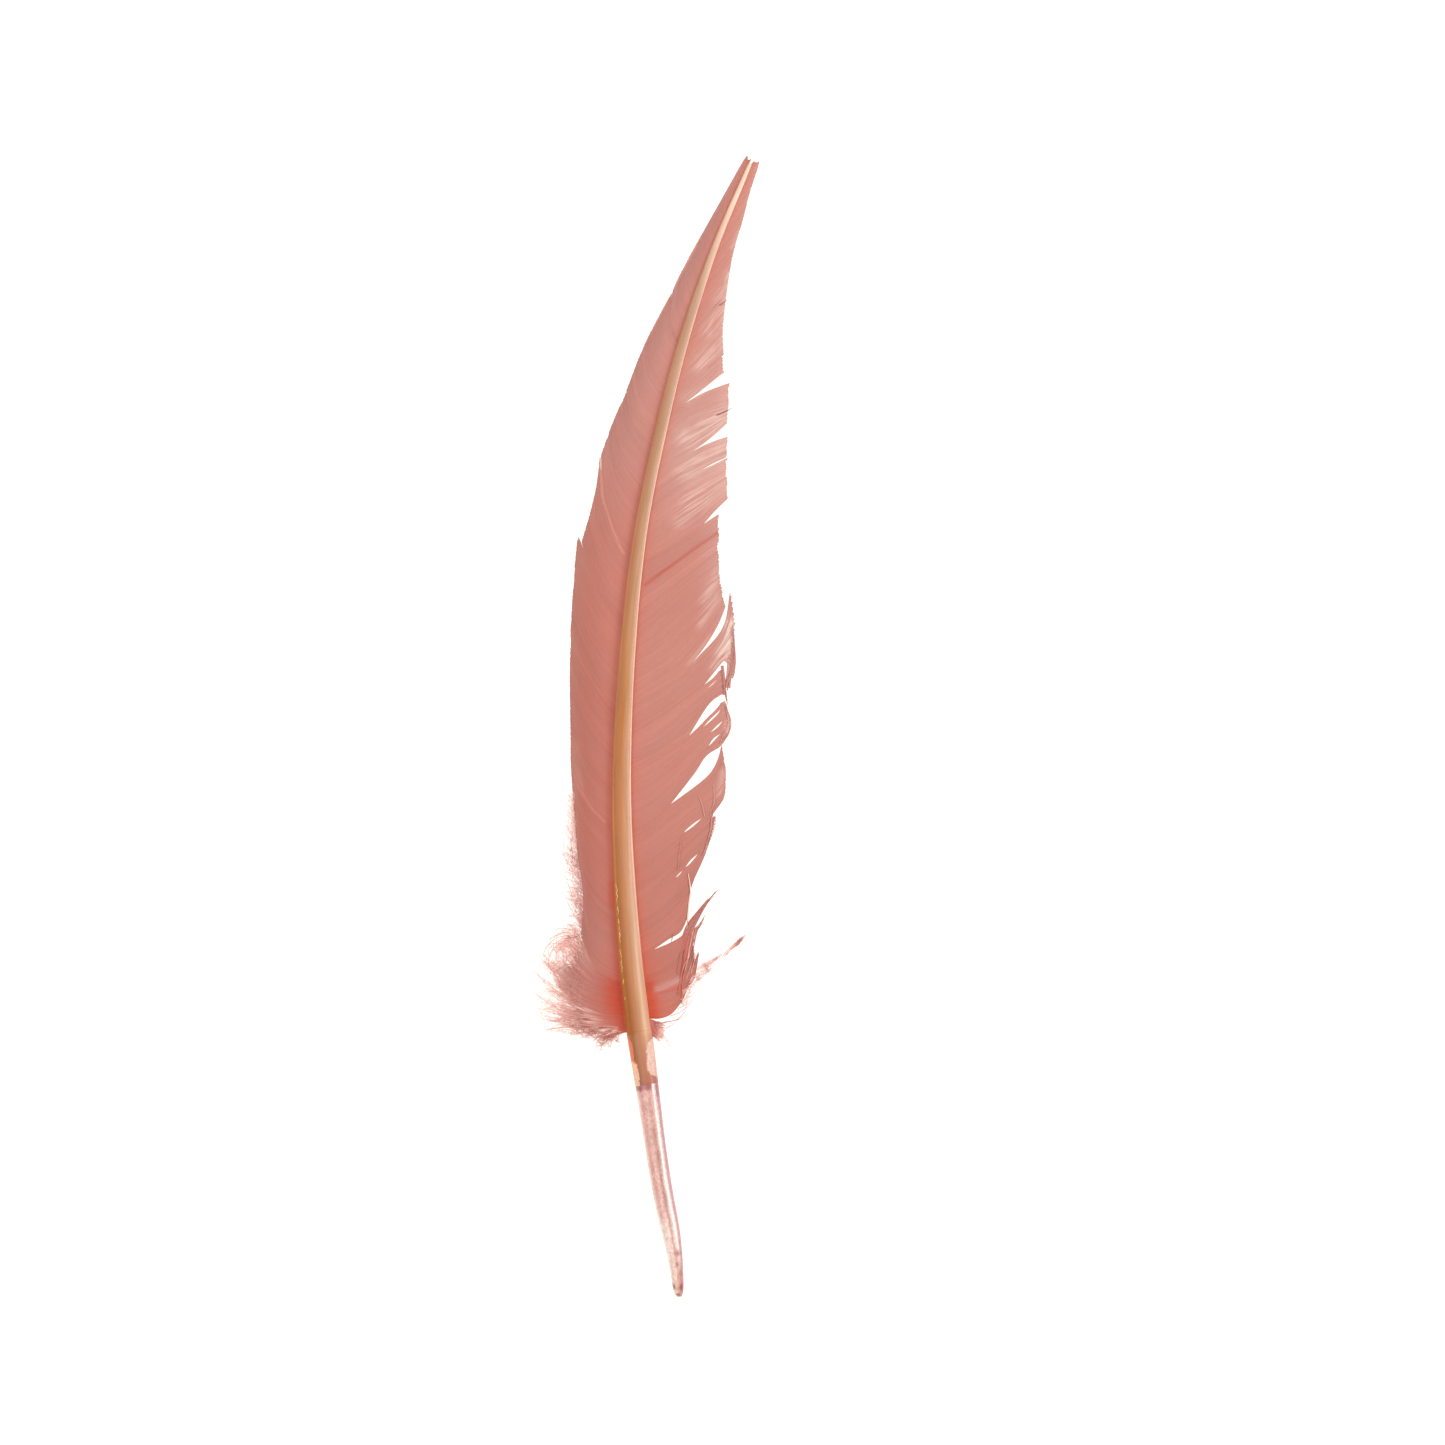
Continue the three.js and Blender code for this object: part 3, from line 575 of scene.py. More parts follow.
def vane_dye(side, x, y, sheen_paint=0):
    """The dye's colour at plan points: redder by the shaft and at the base, paler at the edge, with the
    marks and, scaled by the last argument, patches of painted sheen laid over it.
    """
    beside = np.abs(x - shaft_side(side, y))
    share = vane_share(side, x, y)
    soak = 1.2 + 2.2 * smoothstep(-45, -78, y)
    root = (0.85 * np.exp(-beside / soak))[..., None]
    edge = (0.7 * smoothstep(0.6, 1.05, share))[..., None]
    colour = over(VANE_MIDDLE[side](y), VANE_ROOT[side](y), root)
    colour = over(colour, VANE_EDGE[side](y), edge)
    colour = marked(x, y, colour, MARKS[side])
    return marked(x, y, colour, PAINTED_SHEEN_PATCHES[side], sheen_paint) * DYE_DEPTH[side]


# ---------------------------------------------------------------- materials


class Look:
    """A Principled material, and the nodes that drive it."""

    def __init__(self, name, **constants):
        self.material = bpy.data.materials.new(name)
        self.material.use_nodes = True
        self.tree = self.material.node_tree
        self.shader = self.tree.nodes["Principled BSDF"]
        self.set(**constants)

    def set(self, **values):
        for key, value in values.items():
            self.put(self.shader.inputs[key.replace("_", " ")], value)

    def put(self, socket, value):
        if isinstance(value, bpy.types.NodeSocket):
            self.tree.links.new(value, socket)
        else:
            socket.default_value = value

    def node(self, kind, inputs=None, **settings):
        made = self.tree.nodes.new("ShaderNode" + kind)
        for key, value in settings.items():
            setattr(made, key, value)
        for key, value in (inputs or {}).items():
            self.put(made.inputs[key], value)
        return made

    def read(self, name, output):
        return self.node("Attribute", attribute_name=name).outputs[output]

    def noise(self, vector, scale, detail=3, roughness=0.5, distortion=0):
        made = self.node("TexNoise", {"Vector": vector, "Scale": scale, "Detail": detail,
                                      "Roughness": roughness, "Distortion": distortion})
        return made.outputs["Fac"]

    def stretched(self, vector, scale):
        return self.node("VectorMath", {0: vector, 1: scale}, operation="MULTIPLY").outputs[0]

    def ramp(self, value, to_low=0, to_high=1, low=0.3, high=0.7):
        """A noise's usual span, or another, stretched to these limits."""
        made = self.node("MapRange", {"Value": value, "From Min": low, "From Max": high,
                                      "To Min": to_low, "To Max": to_high})
        return made.outputs["Result"]

    def math(self, operation, a, b=0):
        return self.node("Math", {0: a, 1: b}, operation=operation).outputs[0]

    def mix(self, share, a, b, blend="MIX"):
        made = self.node("Mix", data_type="RGBA", blend_type=blend)
        for key, value in (("Factor", share), ("A", a), ("B", b)):
            sockets = [s for s in made.inputs if s.name == key and s.enabled]
            self.put(sockets[0], value)
        return [s for s in made.outputs if s.enabled][0]

    def bump(self, height, distance, strength=1):
        made = self.node("Bump", {"Height": height, "Distance": distance, "Strength": strength})
        return made.outputs["Normal"]


def rgba(colour):
    return (*linear(colour), 1)


def scaled(look, colour, share):
    """A colour multiplied by a grey value."""
    grey = look.node("CombineColor", {"Red": share, "Green": share, "Blue": share}).outputs[0]
    return look.mix(1, colour, grey, "MULTIPLY")


def barb_look(name, sheen, roughness, streak, cloudy, painted_glow=0):
    """Barbs: the dye's colour, with fine streaks along each barb and mauve clouds. Thin down gets a faint
    emission, a painted glow that stands in for the light coming through it."""
    look = Look(name, Sheen_Weight=sheen, Sheen_Roughness=0.4, Specular_IOR_Level=0.35,
                Emission_Strength=painted_glow)
    grain = look.read("grain", "Vector")
    fine = look.noise(look.stretched(grain, (3, 0.6, 1)), 1)
    broad = look.noise(look.stretched(grain, (0.3, 0.1, 1)), 1)
    cloud = look.noise(look.stretched(grain, (0.06, 0.05, 1)), 1)
    shade = look.math("ADD", look.ramp(fine, -streak, streak), look.read("shade", "Fac"))
    shade = look.math("ADD", shade, look.ramp(broad, -streak, streak))
    dye = scaled(look, look.read("dye", "Color"), shade)
    look.set(Base_Color=look.mix(look.ramp(cloud, 0, cloudy, 0.4, 0.65), dye, rgba(MAUVE)),
             Roughness=look.ramp(fine, roughness - 0.08, roughness + 0.08),
             Normal=look.bump(fine, 0.00003))
    if painted_glow:
        look.set(Emission_Color=dye)
    return look.material


def horn_look():
    """The shaft: polished horn, with fine lines along it."""
    look = Look("horn", Coat_Weight=0.14, Coat_Roughness=0.16, Specular_IOR_Level=0.24)
    along = look.read("along", "Vector")
    lines = look.noise(look.stretched(along, (5, 0.1, 5)), 1, detail=5)
    cloud = look.noise(look.stretched(along, (0.6, 0.07, 0.6)), 1, detail=4)
    grit = look.noise(along, 4, detail=2)
    shade = look.math("ADD", look.ramp(lines, 0.93, 1.05), look.ramp(cloud, -0.08, 0.08))
    shade = look.math("ADD", shade, look.ramp(grit, -0.02, 0.02, low=0.35, high=0.65))
    look.set(Base_Color=scaled(look, look.read("dye", "Color"), shade),
             Roughness=look.ramp(lines, 0.32, 0.5),
             Normal=look.bump(lines, 0.00005))
    return look.material


def barrel_look():
    """The barrel: milky pink horn, mottled inside, with a glossy skin."""
    look = Look("clear_horn", Transmission_Weight=0.1, IOR=1.5, Coat_Weight=0.35, Coat_Roughness=0.12)
    along = look.read("along", "Vector")
    mottle = look.noise(look.stretched(along, (1.9, 1.1, 1.9)), 1, detail=6, roughness=0.7, distortion=0.4)
    streaks = look.noise(look.stretched(along, (2.2, 0.12, 2.2)), 1, detail=3)
    fine = look.noise(look.stretched(along, (5, 3, 5)), 1, detail=4)
    shade = look.math("ADD", look.ramp(mottle, 0.74, 1.18, low=0.36, high=0.64),
                      look.ramp(streaks, -0.05, 0.05))
    shade = look.math("ADD", shade, look.ramp(fine, -0.05, 0.05, low=0.35, high=0.65))
    look.set(Base_Color=scaled(look, look.read("dye", "Color"), shade),
             Roughness=look.ramp(fine, 0.28, 0.42),
             Normal=look.bump(mottle, 0.00006))
    return look.material


def crumbly_look(name, dark, pale, roughness, scale):
    """Dried skin and pith: two colours mixed in flakes, matt and rough."""
    look = Look(name, Specular_IOR_Level=0.3, Sheen_Weight=0.1)
    place = look.node("TexCoord").outputs["Object"]
    flakes = look.noise(place, scale, detail=6, roughness=0.65, distortion=0.4)
    look.set(Base_Color=look.mix(look.ramp(flakes, low=0.36, high=0.64), rgba(dark), rgba(pale)),
             Roughness=look.ramp(flakes, roughness - 0.12, roughness + 0.1),
             Normal=look.bump(flakes, 0.00015))
    return look.material


def skin_look(name, roughness, contrast):
    """Thin dried skin: its own colours, with flakes and wrinkles along it."""
    look = Look(name, Specular_IOR_Level=0.4, Sheen_Weight=0.1)
    along = look.read("along", "Vector")
    flakes = look.noise(look.stretched(along, (3, 1.5, 3)), 1, detail=6, roughness=0.7, distortion=0.5)
    wrinkles = look.noise(look.stretched(along, (4, 0.5, 4)), 1, detail=3)
    shade = look.math("ADD", look.ramp(flakes, 1 - contrast, 1 + contrast),
                      look.ramp(wrinkles, -contrast / 2, contrast / 2))
    look.set(Base_Color=scaled(look, look.read("dye", "Color"), shade),
             Roughness=look.ramp(flakes, roughness - 0.12, roughness + 0.1),
             Normal=look.bump(wrinkles, 0.00012))
    return look.material


FLOOR_GLOW = 1.02
FLOOR_GLOW_COLOUR = (1, 0.985, 0.92, 1)


def floor_look():
    """A light table: white where the lamps reach it, and cream in the shade."""
    look = Look("floor", Roughness=0.9, Specular_IOR_Level=0.2, Emission_Strength=FLOOR_GLOW)
    place = look.node("TexCoord").outputs["Object"]
    tooth = look.noise(place, 900, detail=2)
    look.set(Base_Color=look.mix(look.ramp(tooth), (0.2, 0.2, 0.2, 1), (0.24, 0.24, 0.24, 1)),
             Emission_Color=FLOOR_GLOW_COLOUR)
    return look.material


BARBS = barb_look("pink_barbs", 0.15, 0.6, 0.03, 0.16)
WEB = barb_look("matted_down", 0.15, 0.7, 0.05, 0.1)
DOWN = barb_look("pale_down", 0.2, 0.8, 0.04, 0.04, 0.1)
HORN = horn_look()
CLEAR_HORN = barrel_look()
PITH = crumbly_look("pith", (188, 128, 98), (216, 164, 132), 0.8, 900)
PULP = crumbly_look("dried_pulp", (150, 84, 70), (206, 150, 138), 0.75, 1200)
FILM = skin_look("sheath_film", 0.6, 0.24)
FLAKE = skin_look("golden_flake", 0.4, 0.18)

# ---------------------------------------------------------------- vanes

ROOT_SINK = 0.25
BARB_SPACING = 0.42
FRAYED_SPACING = 0.09
BARB_SAMPLES = 28
HAIR_SAMPLES = 18
HAIR_GRAIN_LENGTH = 8
LOCK_SIZE = 7
LOCK_GATHER = 0.22
LOCK_LIFT = 0.07
BARB_OVERLAP = 1.6
BARB_WIDTHS = (0.1, 0.55)
BARB_THICKNESS = 0.06
BARB_TAPER = 0.4
SHINGLE = 0.06
LEAST_HEIGHT = 0.14
SLIT_REACH = 1.6

# Small slits between barbs: (start, end, width).
SLITS = {
    RIGHT: [
        ((14.5, 67), (22.5, 71.8), 0.48),
        ((16.9, 8.6), (20.3, 11.3), 0.8),
        ((15.6, -0.7), (20.2, 4.4), 0.68),
        ((17.6, -2.2), (20.6, 1.2), 0.8),
        ((16.6, -5.2), (20.4, -2.2), 0.85),
        ((9.9, -28), (14.8, -24.2), 0.7),
        ((10.4, -37.6), (13.5, -32.6), 1),
        ((7.8, -40.4), (10.2, -37.6), 0.75),
    ],
    LEFT: [
        ((-11.5, 66.5), (-11.9, 72), 0.3),
    ],
}


def locks_of(t, name, mean_size):
    """Groups neighbouring barbs into locks: each barb's lock centre and two random numbers of its lock."""
    rng = random_for(name + " locks")
    sizes = rng.uniform(0.5, 1.6, len(t)) * mean_size
    ends = np.cumsum(sizes)
    lock = np.searchsorted(ends, np.arange(len(t)), side="right")
    centre = np.array([t[lock == k].mean() if (lock == k).any() else 0 for k in range(lock.max() + 1)])
    return centre[lock], rng.uniform(0, 1, lock.max() + 1)[lock], rng.normal(0, 1, lock.max() + 1)[lock]


def shortened(points, ends, starts=0):
    """Barbs cut to these shares of their length, resampled. points are (barbs, samples, k)."""
    samples = points.shape[1]
    starts = np.zeros(len(points)) + starts
    run = np.linspace(0, 1, samples)
    place = (starts[:, None] + run[None] * (ends - starts)[:, None]) * (samples - 1)
    i = np.minimum(place.astype(int), samples - 2)
    rows = np.arange(len(points))[:, None]
    w = (place - i)[..., None]
    return points[rows, i] * (1 - w) + points[rows, i + 1] * w


def parted(side, plan):
    """Barbs pushed apart along the small slits. Each barb goes wholly to one side of a slit."""
    for start, end, width in SLITS[side]:
        run = np.subtract(end, start)
        length = np.hypot(*run)
        run = run / length
        square = np.array([-run[1], run[0]])
        along = (plan - start) @ run / length
        off = (plan - start) @ square
        inside = (along > 0) & (along < 1)
        mean_off = (off * inside).sum(1, keepdims=True) / np.maximum(inside.sum(1, keepdims=True), 1)
        push = np.sign(mean_off) * width / 2 * np.sin(np.pi * np.clip(along, 0, 1)) ** 0.7
        plan = plan + (push * np.exp(-np.abs(off) / SLIT_REACH))[..., None] * square
    return plan


def barb_grain(rng, count, samples, length):
    """Coordinates for the fine streaks: the barb's number across, and millimetres along it."""
    number = rng.uniform(0, 900) + np.arange(count, dtype=float)
    run = np.linspace(0, length, samples)
    return np.stack([np.repeat(number[:, None], samples, 1), np.repeat(run[None], count, 0),
                     np.zeros((count, samples))], -1)


def vane_panel(name, side, guides, fray=None):
    """One panel of a vane: its barbs, from the shaft's side to the vane's edge.

    A frayed panel's barbs are ragged and pale at their ends: fray is the shortest and the longest, as
    shares of their guides, and how pale they get.
    """
    rng = random_for(name)
    count = max(5, round((guides[0][0] - guides[-1][0]) / (FRAYED_SPACING if fray else BARB_SPACING)))
    reach = np.linspace(0, 1, BARB_SAMPLES)
    t = (np.arange(count) + 0.5) / count
    centre, pinch, lift = locks_of(t, name, LOCK_SIZE)
    gather = LOCK_GATHER * pinch[:, None] ** 2 * smoothstep(0.86, 1, reach)
    t_grid = t[:, None] + (centre - t)[:, None] * gather + rng.normal(0, 0.06 / count, (count, 1)) * reach
    paths = np.stack([guide_path(side, guide, reach) for guide in guides])
    ends = 1 - 0.012 * rng.uniform(0, 1, count) ** 2 - 0.02 * pinch ** 3
    if fray:
        ends = rng.uniform(*fray[:2], count)
    plan = shortened(between_guides(paths, t_grid), ends)

    heading = unit(np.gradient(plan, axis=1))
    beside = np.gradient(plan, axis=0)
    distance = np.abs(heading[..., 0] * beside[..., 1] - heading[..., 1] * beside[..., 0])
    tip = 1 - 0.85 * smoothstep(0.72, 1, reach) if fray else 1 - 0.5 * smoothstep(0.965, 1, reach)
    half_width = np.clip(distance * BARB_OVERLAP / 2, *BARB_WIDTHS) * tip
    thickness = BARB_THICKNESS * (1 - BARB_TAPER * reach)
    plan = parted(side, plan)

    height = vane_height(side, plan[..., 0], plan[..., 1])
    height = height + rng.normal(0, 0.008, (count, 1)) + LOCK_LIFT * lift[:, None] * reach ** 3
    height = np.maximum(height, LEAST_HEIGHT)
    middle = raised(plan, height)
    across = np.stack([-heading[..., 1], heading[..., 0], np.full(plan.shape[:2], SHINGLE * side)], -1)
    across = across * half_width[..., None]
    up = np.zeros_like(middle)
    up[..., 2] = thickness

    points, faces = strip_mesh(middle, across, up)
    shade = 1 + rng.normal(0, 0.018, (count, 1)) + 0.016 * lift[:, None] - 0.05 * smoothstep(0.97, 1, reach)
    length = np.linalg.norm(np.diff(plan, axis=1), axis=2).mean() * BARB_SAMPLES
    patches = np.stack([np.interp(reach, np.linspace(0, 1, 9), row) for row in rng.normal(0, 1, (count, 9))])
    # How strongly each barb takes the painted sheen, in patches along it.
    sheen_paint = np.clip(0.8 + 0.38 * rng.normal(0, 1, (count, 1)) + 0.45 * patches, 0, 1.6)
    dye = vane_dye(side, plan[..., 0], plan[..., 1], sheen_paint)
    if fray:
        pale = fray[2] * smoothstep(0.35, 1, reach) * rng.uniform(0, 1, (count, 1)) ** 1.5
        pale = np.clip(pale, 0, 1)[..., None]
        dye = over(dye, linear(PALE_DOWN), pale)
    slot, look = ("pale_down", WEB) if fray else ("pink_barbs", BARBS)
    piece(name + "_barbs", points, faces, slot, look, [name], smooth=False, dye=spread(dye),
          shade=spread(shade), grain=spread(barb_grain(rng, count, BARB_SAMPLES, length)))


for i, guides in enumerate(INNER_VANE):
    vane_panel(f"inner_vane_{i + 1}", RIGHT, guides)
for i, guides in enumerate(OUTER_VANE):
    vane_panel(f"outer_vane_{i + 1}", LEFT, guides)

# ---------------------------------------------------------------- down and loose barbs

DEEP_DOWN = (210, 144, 132)
PALE_HAIRS = (238, 190, 180)
LEAST_HAIR_HEIGHT = 0.12


def down_dye(side, lines, fade=1):
    """Down: stained by the dye close to the shaft, paler towards its ends. fade is 0 to 1 along a hair."""
    beside = np.abs(lines[..., 0] - shaft_side(side, lines[..., 1]))
    stain = (0.9 * np.exp(-((beside / 3.4) ** 1.5)))[..., None]
    pale = (0.85 * smoothstep(7, 18, beside) * fade)[..., None]
    colour = over(linear(DEEP_DOWN), linear(PALE_HAIRS), pale)
    return over(colour, VANE_ROOT[side](lines[..., 1]), stain)


def hairs(name, lines, radius, colour, slot, look, replaces=(), shade=0.06, flat=1):
    """Tapering hairs. lines and colour are (hairs, samples, 3), and flat is thickness over width."""
    rng = random_for(name + " shade")
    count, samples, _ = lines.shape
    heading = unit(np.gradient(lines, axis=1))
    upright = np.broadcast_to(np.array([0.0, 0.0, 1.0]), heading.shape)
    across = unit(np.cross(upright, heading))
    up = np.cross(heading, across)
    points, faces = strip_mesh(lines, across * radius[..., None], up * radius[..., None] * flat)
    piece(name, points, faces, slot, look, replaces, smooth=flat == 1, dye=spread(colour),
          shade=spread(1 + rng.normal(0, shade, count), samples),
          grain=spread(barb_grain(rng, count, samples, HAIR_GRAIN_LENGTH)))


def barbules(rng, lines, per_line, length, radius, samples=4, first=0.08):
    """Fine side hairs along some lines: their own lines and radii, and each one's place along its line."""
    count, steps, _ = lines.shape
    owner = np.repeat(np.arange(count), per_line)
    share = rng.uniform(first, 1, len(owner))
    place = share * (steps - 1)
    i = np.minimum(place.astype(int), steps - 2)
    w = (place - i)[:, None]
    base = lines[owner, i] * (1 - w) + lines[owner, i + 1] * w
    heading = unit(lines[owner, i + 1] - lines[owner, i])
    sideways = unit(np.cross(heading, (0, 0, 1.0))) * rng.choice([-1, 1], len(owner))[:, None]
    out = heading * rng.uniform(0.3, 1.4, (len(owner), 1)) + sideways
    out = unit(out + rng.normal(0, 0.3, (len(owner), 3)))
    curl = rng.normal(0, 0.45, (len(owner), 3))
    size = length * rng.uniform(0.4, 1, len(owner)) * (1 - 0.5 * share)
    run = np.linspace(0, 1, samples)
    bent = out[:, None] * run[:, None] + curl[:, None] * run[:, None] ** 2
    grown = base[:, None] + bent * size[:, None, None]
    grown[..., 2] = np.maximum(grown[..., 2], LEAST_HAIR_HEIGHT / 2)
    return grown, tapering(radius, 0.7, run, len(owner))


def wavy(rng, lines, size):
    """Lines with a gentle random wave that grows along them."""
    count, steps, _ = lines.shape
    run = np.linspace(0, 1, steps)
    wave = np.zeros_like(lines)
    for turns in (0.6, 1.3, 2.6):
        phase = rng.uniform(0, 2 * math.pi, (count, 1, 3))
        sine = np.sin(2 * math.pi * turns * run[None, :, None] + phase)
        wave += sine / turns * rng.normal(0, 1, (count, 1, 3))
    waved = lines + wave * run[None, :, None] * size * np.array([1, 1, 0.35])
    waved[..., 2] = np.maximum(waved[..., 2], LEAST_HAIR_HEIGHT)
    return waved


FAN_WEBS = [(0.84, 1.0, 0.5), (0.84, 1.0, 0.5), (0.6, 0.92, 1.1), (0.4, 0.9, 1.3)]
for number, fray in enumerate(FAN_WEBS):
    vane_panel(f"outer_down_{number + 1}", LEFT, FAN[number:number + 2], fray)

WISP_FAN = [
    (-66, [(-12, -63), (-16, -58), (-19, -51)]),
    (-70.5, [(-13, -69), (-20, -64.5), (-26, -57.5)]),
    (-74.5, [(-13, -74), (-20.5, -70.5), (-27.5, -64)]),
    (-77.5, [(-12, -77.3), (-20, -76.5), (-28.5, -74)]),
    (-79.3, [(-9, -79.6), (-17, -79.4), (-26.5, -78.6)]),
    (-79.8, [(-7, -80.6), (-9.4, -82), (-12, -84)]),
]


def wisps(name, guides, barbs, fluff):
    """Loose downy barbs over and beyond the fan, and their barbules."""
    rng = random_for(name)
    reach = np.linspace(0, 1, HAIR_SAMPLES)
    paths = np.stack([guide_path(LEFT, guide, reach) for guide in guides])
    t = rng.uniform(-0.02, 1.02, (barbs, 1)) + rng.normal(0, 0.03, (barbs, 1)) * reach
    plan = shortened(between_guides(paths, t), rng.uniform(0.6, 1.04, barbs))
    root = vane_height(LEFT, plan[:, :1, 0], plan[:, :1, 1])
    height = 0.5 + (root - 0.4) * (1 - reach) ** 1.5 + rng.uniform(0, 1.2, (barbs, 1)) * reach
    lines = wavy(rng, raised(plan, height), 0.8)
    radius = tapering(0.075, 0.65, reach, barbs)
    hairs(name + "_barbs", lines, radius, down_dye(LEFT, lines, reach), "pale_down", DOWN, shade=0.08)
    grown, radii = barbules(rng, lines, fluff, 2.2, 0.028, first=0.45)
    hairs(name + "_barbules", grown, radii, down_dye(LEFT, grown), "pale_down", DOWN)


wisps("fan_wisps", WISP_FAN, 150, 40)
wisps("fan_side_wisps", WISP_FAN[1:4], 70, 44)

# Single loose hairs: (line, radius, colour), over the fan and across the inner vane.

PALE_HAIR = (244, 208, 198)
FAN_HAIRS = [
    ([(-16.5, -55), (-20, -54.9), (-24, -56), (-26.7, -59.3), (-26, -62.4), (-23, -65)],
     0.1, (236, 186, 176)),
    ([(-17.5, -58), (-21.8, -52), (-22.8, -48.6), (-24.2, -46.8), (-25.6, -48.4), (-26.4, -54)],
     0.09, PALE_HAIR),
    ([(-17.4, -52.6), (-20.5, -51.9), (-23.5, -50.9), (-26.6, -50.4)], 0.08, PALE_HAIR),
    ([(-17.6, -51), (-20.3, -46.6), (-21.5, -43.5), (-23, -39.8)], 0.09, PALE_HAIR),
    ([(-19.4, -36), (-19.2, -33.4), (-19.5, -30.8), (-19.3, -29)], 0.08, (150, 96, 88)),
    ([(-18, -48), (-19.8, -43), (-21, -39.4)], 0.1, (232, 180, 170)),
    ([(-20.4, -55.1), (-19.4, -55.6), (-18.2, -55.3), (-17, -54.8)], 0.17, (170, 104, 98)),
    ([(-21, -64), (-21.5, -61), (-21.8, -57.5), (-20.6, -56)], 0.12, (224, 168, 158)),
    ([(-17, -64), (-20.5, -62.5), (-24, -64.6), (-25.5, -62), (-24.4, -58.5)], 0.14, (206, 148, 138)),
    ([(-7, -79), (-12, -78.7), (-16, -79.4), (-20.5, -79), (-26, -79.8)], 0.2, (196, 132, 120)),
    ([(-14, -78.6), (-19, -78.2), (-22, -77.6)], 0.16, (206, 146, 134)),
    ([(-14, -76.6), (-19.5, -76.4), (-23, -77)], 0.15, (214, 156, 146)),
    ([(-16, -73.5), (-20.5, -71.6), (-25, -69.3)], 0.16, (204, 146, 136)),
    ([(-12.6, -82.8), (-13.4, -86), (-14.7, -89)], 0.08, PALE_HAIR),
    ([(-22, -68), (-24.4, -64.4), (-27.4, -61)], 0.12, (226, 172, 162)),
]
VANE_HAIRS = [
    # A dark strand laid along a crease on the inner vane as painted shadow.
    ([(18.8, 81.9), (20.6, 82.6), (22.8, 83.8)], 0.15, (150, 72, 62)),
    ([(19.6, 110.8), (20.8, 111.6), (21.8, 112.4)], 0.12, (168, 92, 80)),
    ([(8.6, -37.8), (9.1, -33), (9.7, -28.6)], 0.08, (214, 146, 132)),
    ([(15.6, -23.6), (15, -20.6), (14, -18)], 0.1, (226, 166, 152)),
    ([(7.6, -54.6), (7.1, -55.6), (6.7, -57)], 0.13, (200, 130, 118)),
    ([(11.1, -51), (11.5, -46.5), (11.9, -43), (11.3, -38.6)], 0.2, (252, 214, 202)),
    ([(6.5, -76.2), (10, -74.6), (12.6, -72.2)], 0.11, (226, 168, 158)),
    ([(5, -77.6), (9, -77), (11.6, -75.2)], 0.1, (232, 178, 168)),
    ([(8.6, -74.2), (11.4, -72.8), (13.4, -71)], 0.1, (226, 168, 158)),
    ([(9.2, -71.8), (11.8, -71), (13.6, -69.2)], 0.1, (232, 178, 168)),
    ([(9.6, -69.5), (12.2, -68.2), (13.8, -66.4)], 0.11, (220, 160, 150)),
    ([(9.6, -73), (9.9, -67), (11.2, -60), (11.9, -54)], 0.12, (204, 118, 98)),
    ([(11.2, -61), (11.9, -57), (12.6, -53.8)], 0.12, (236, 182, 170)),
    ([(10.4, -64.4), (11.6, -60), (12.4, -57.4)], 0.1, (230, 172, 160)),
    ([(12, -65), (12.9, -61.6), (13, -58.6)], 0.1, (228, 170, 158)),
    ([(12.5, -62.5), (12.2, -59), (12.6, -56)], 0.1, (174, 104, 96)),
    ([(10.9, -53.4), (11.2, -50.6), (11.5, -47)], 0.14, (206, 140, 130)),
    ([(3.2, -78), (6, -77.6), (8.6, -76.9), (10.7, -74.8)], 0.14, (196, 128, 116)),
    ([(8.6, -70.5), (9.4, -66), (10.4, -60.5)], 0.1, (206, 112, 88)),
    ([(10.8, -66.5), (12, -62.8), (12.8, -60.2)], 0.1, (224, 164, 150)),
    ([(9.8, -64.2), (10.8, -61.6), (12.3, -59.8)], 0.09, (222, 160, 148)),
    ([(3.3, -78.5), (5.6, -79.2), (8.6, -77.2)], 0.1, (206, 140, 128)),
    ([(5.4, -82.2), (6.4, -84), (7.3, -85.2)], 0.12, PALE_HAIR),
    ([(5.2, -82), (6.8, -83), (8.4, -82.9)], 0.1, PALE_HAIR),
    ([(15.4, -50.6), (15.9, -49), (16.5, -47.2)], 0.08, PALE_HAIR),
    ([(17.7, -21.5), (18.1, -19.4), (18, -15.4)], 0.1, (226, 168, 154)),
    ([(15.8, -32), (17, -28), (17.6, -24), (18.4, -20.5)], 0.14, (206, 142, 128)),
    ([(15, -34), (17.2, -29.4), (18.5, -25.2), (18.2, -22.6)], 0.12, (214, 152, 140)),
    ([(16.6, -29), (17.4, -26), (17.2, -22)], 0.1, (226, 168, 156)),
]
LOOSE_HEIGHT = 0.35


def loose_hairs(name, side, table, slot, look):
    """One mesh of single hairs that lie on the vane or the table."""
    run = np.linspace(0, 1, 16)
    plan = np.stack([by_length(catmull_rom(path, FINE), run) for path, _, _ in table])
    height = vane_height(side, plan[..., 0], plan[..., 1]) + LOOSE_HEIGHT
    lines = raised(plan, height)
    radius = np.array([r for _, r, _ in table])[:, None] * (1 - 0.6 * run ** 2)
    colour = np.stack([np.repeat(linear(c)[None], len(run), 0) for _, _, c in table])
    hairs(name, lines, radius, colour, slot, look)


loose_hairs("fan_hairs", LEFT, FAN_HAIRS, "pale_down", DOWN)
loose_hairs("vane_hairs", RIGHT, VANE_HAIRS, "pink_barbs", BARBS)


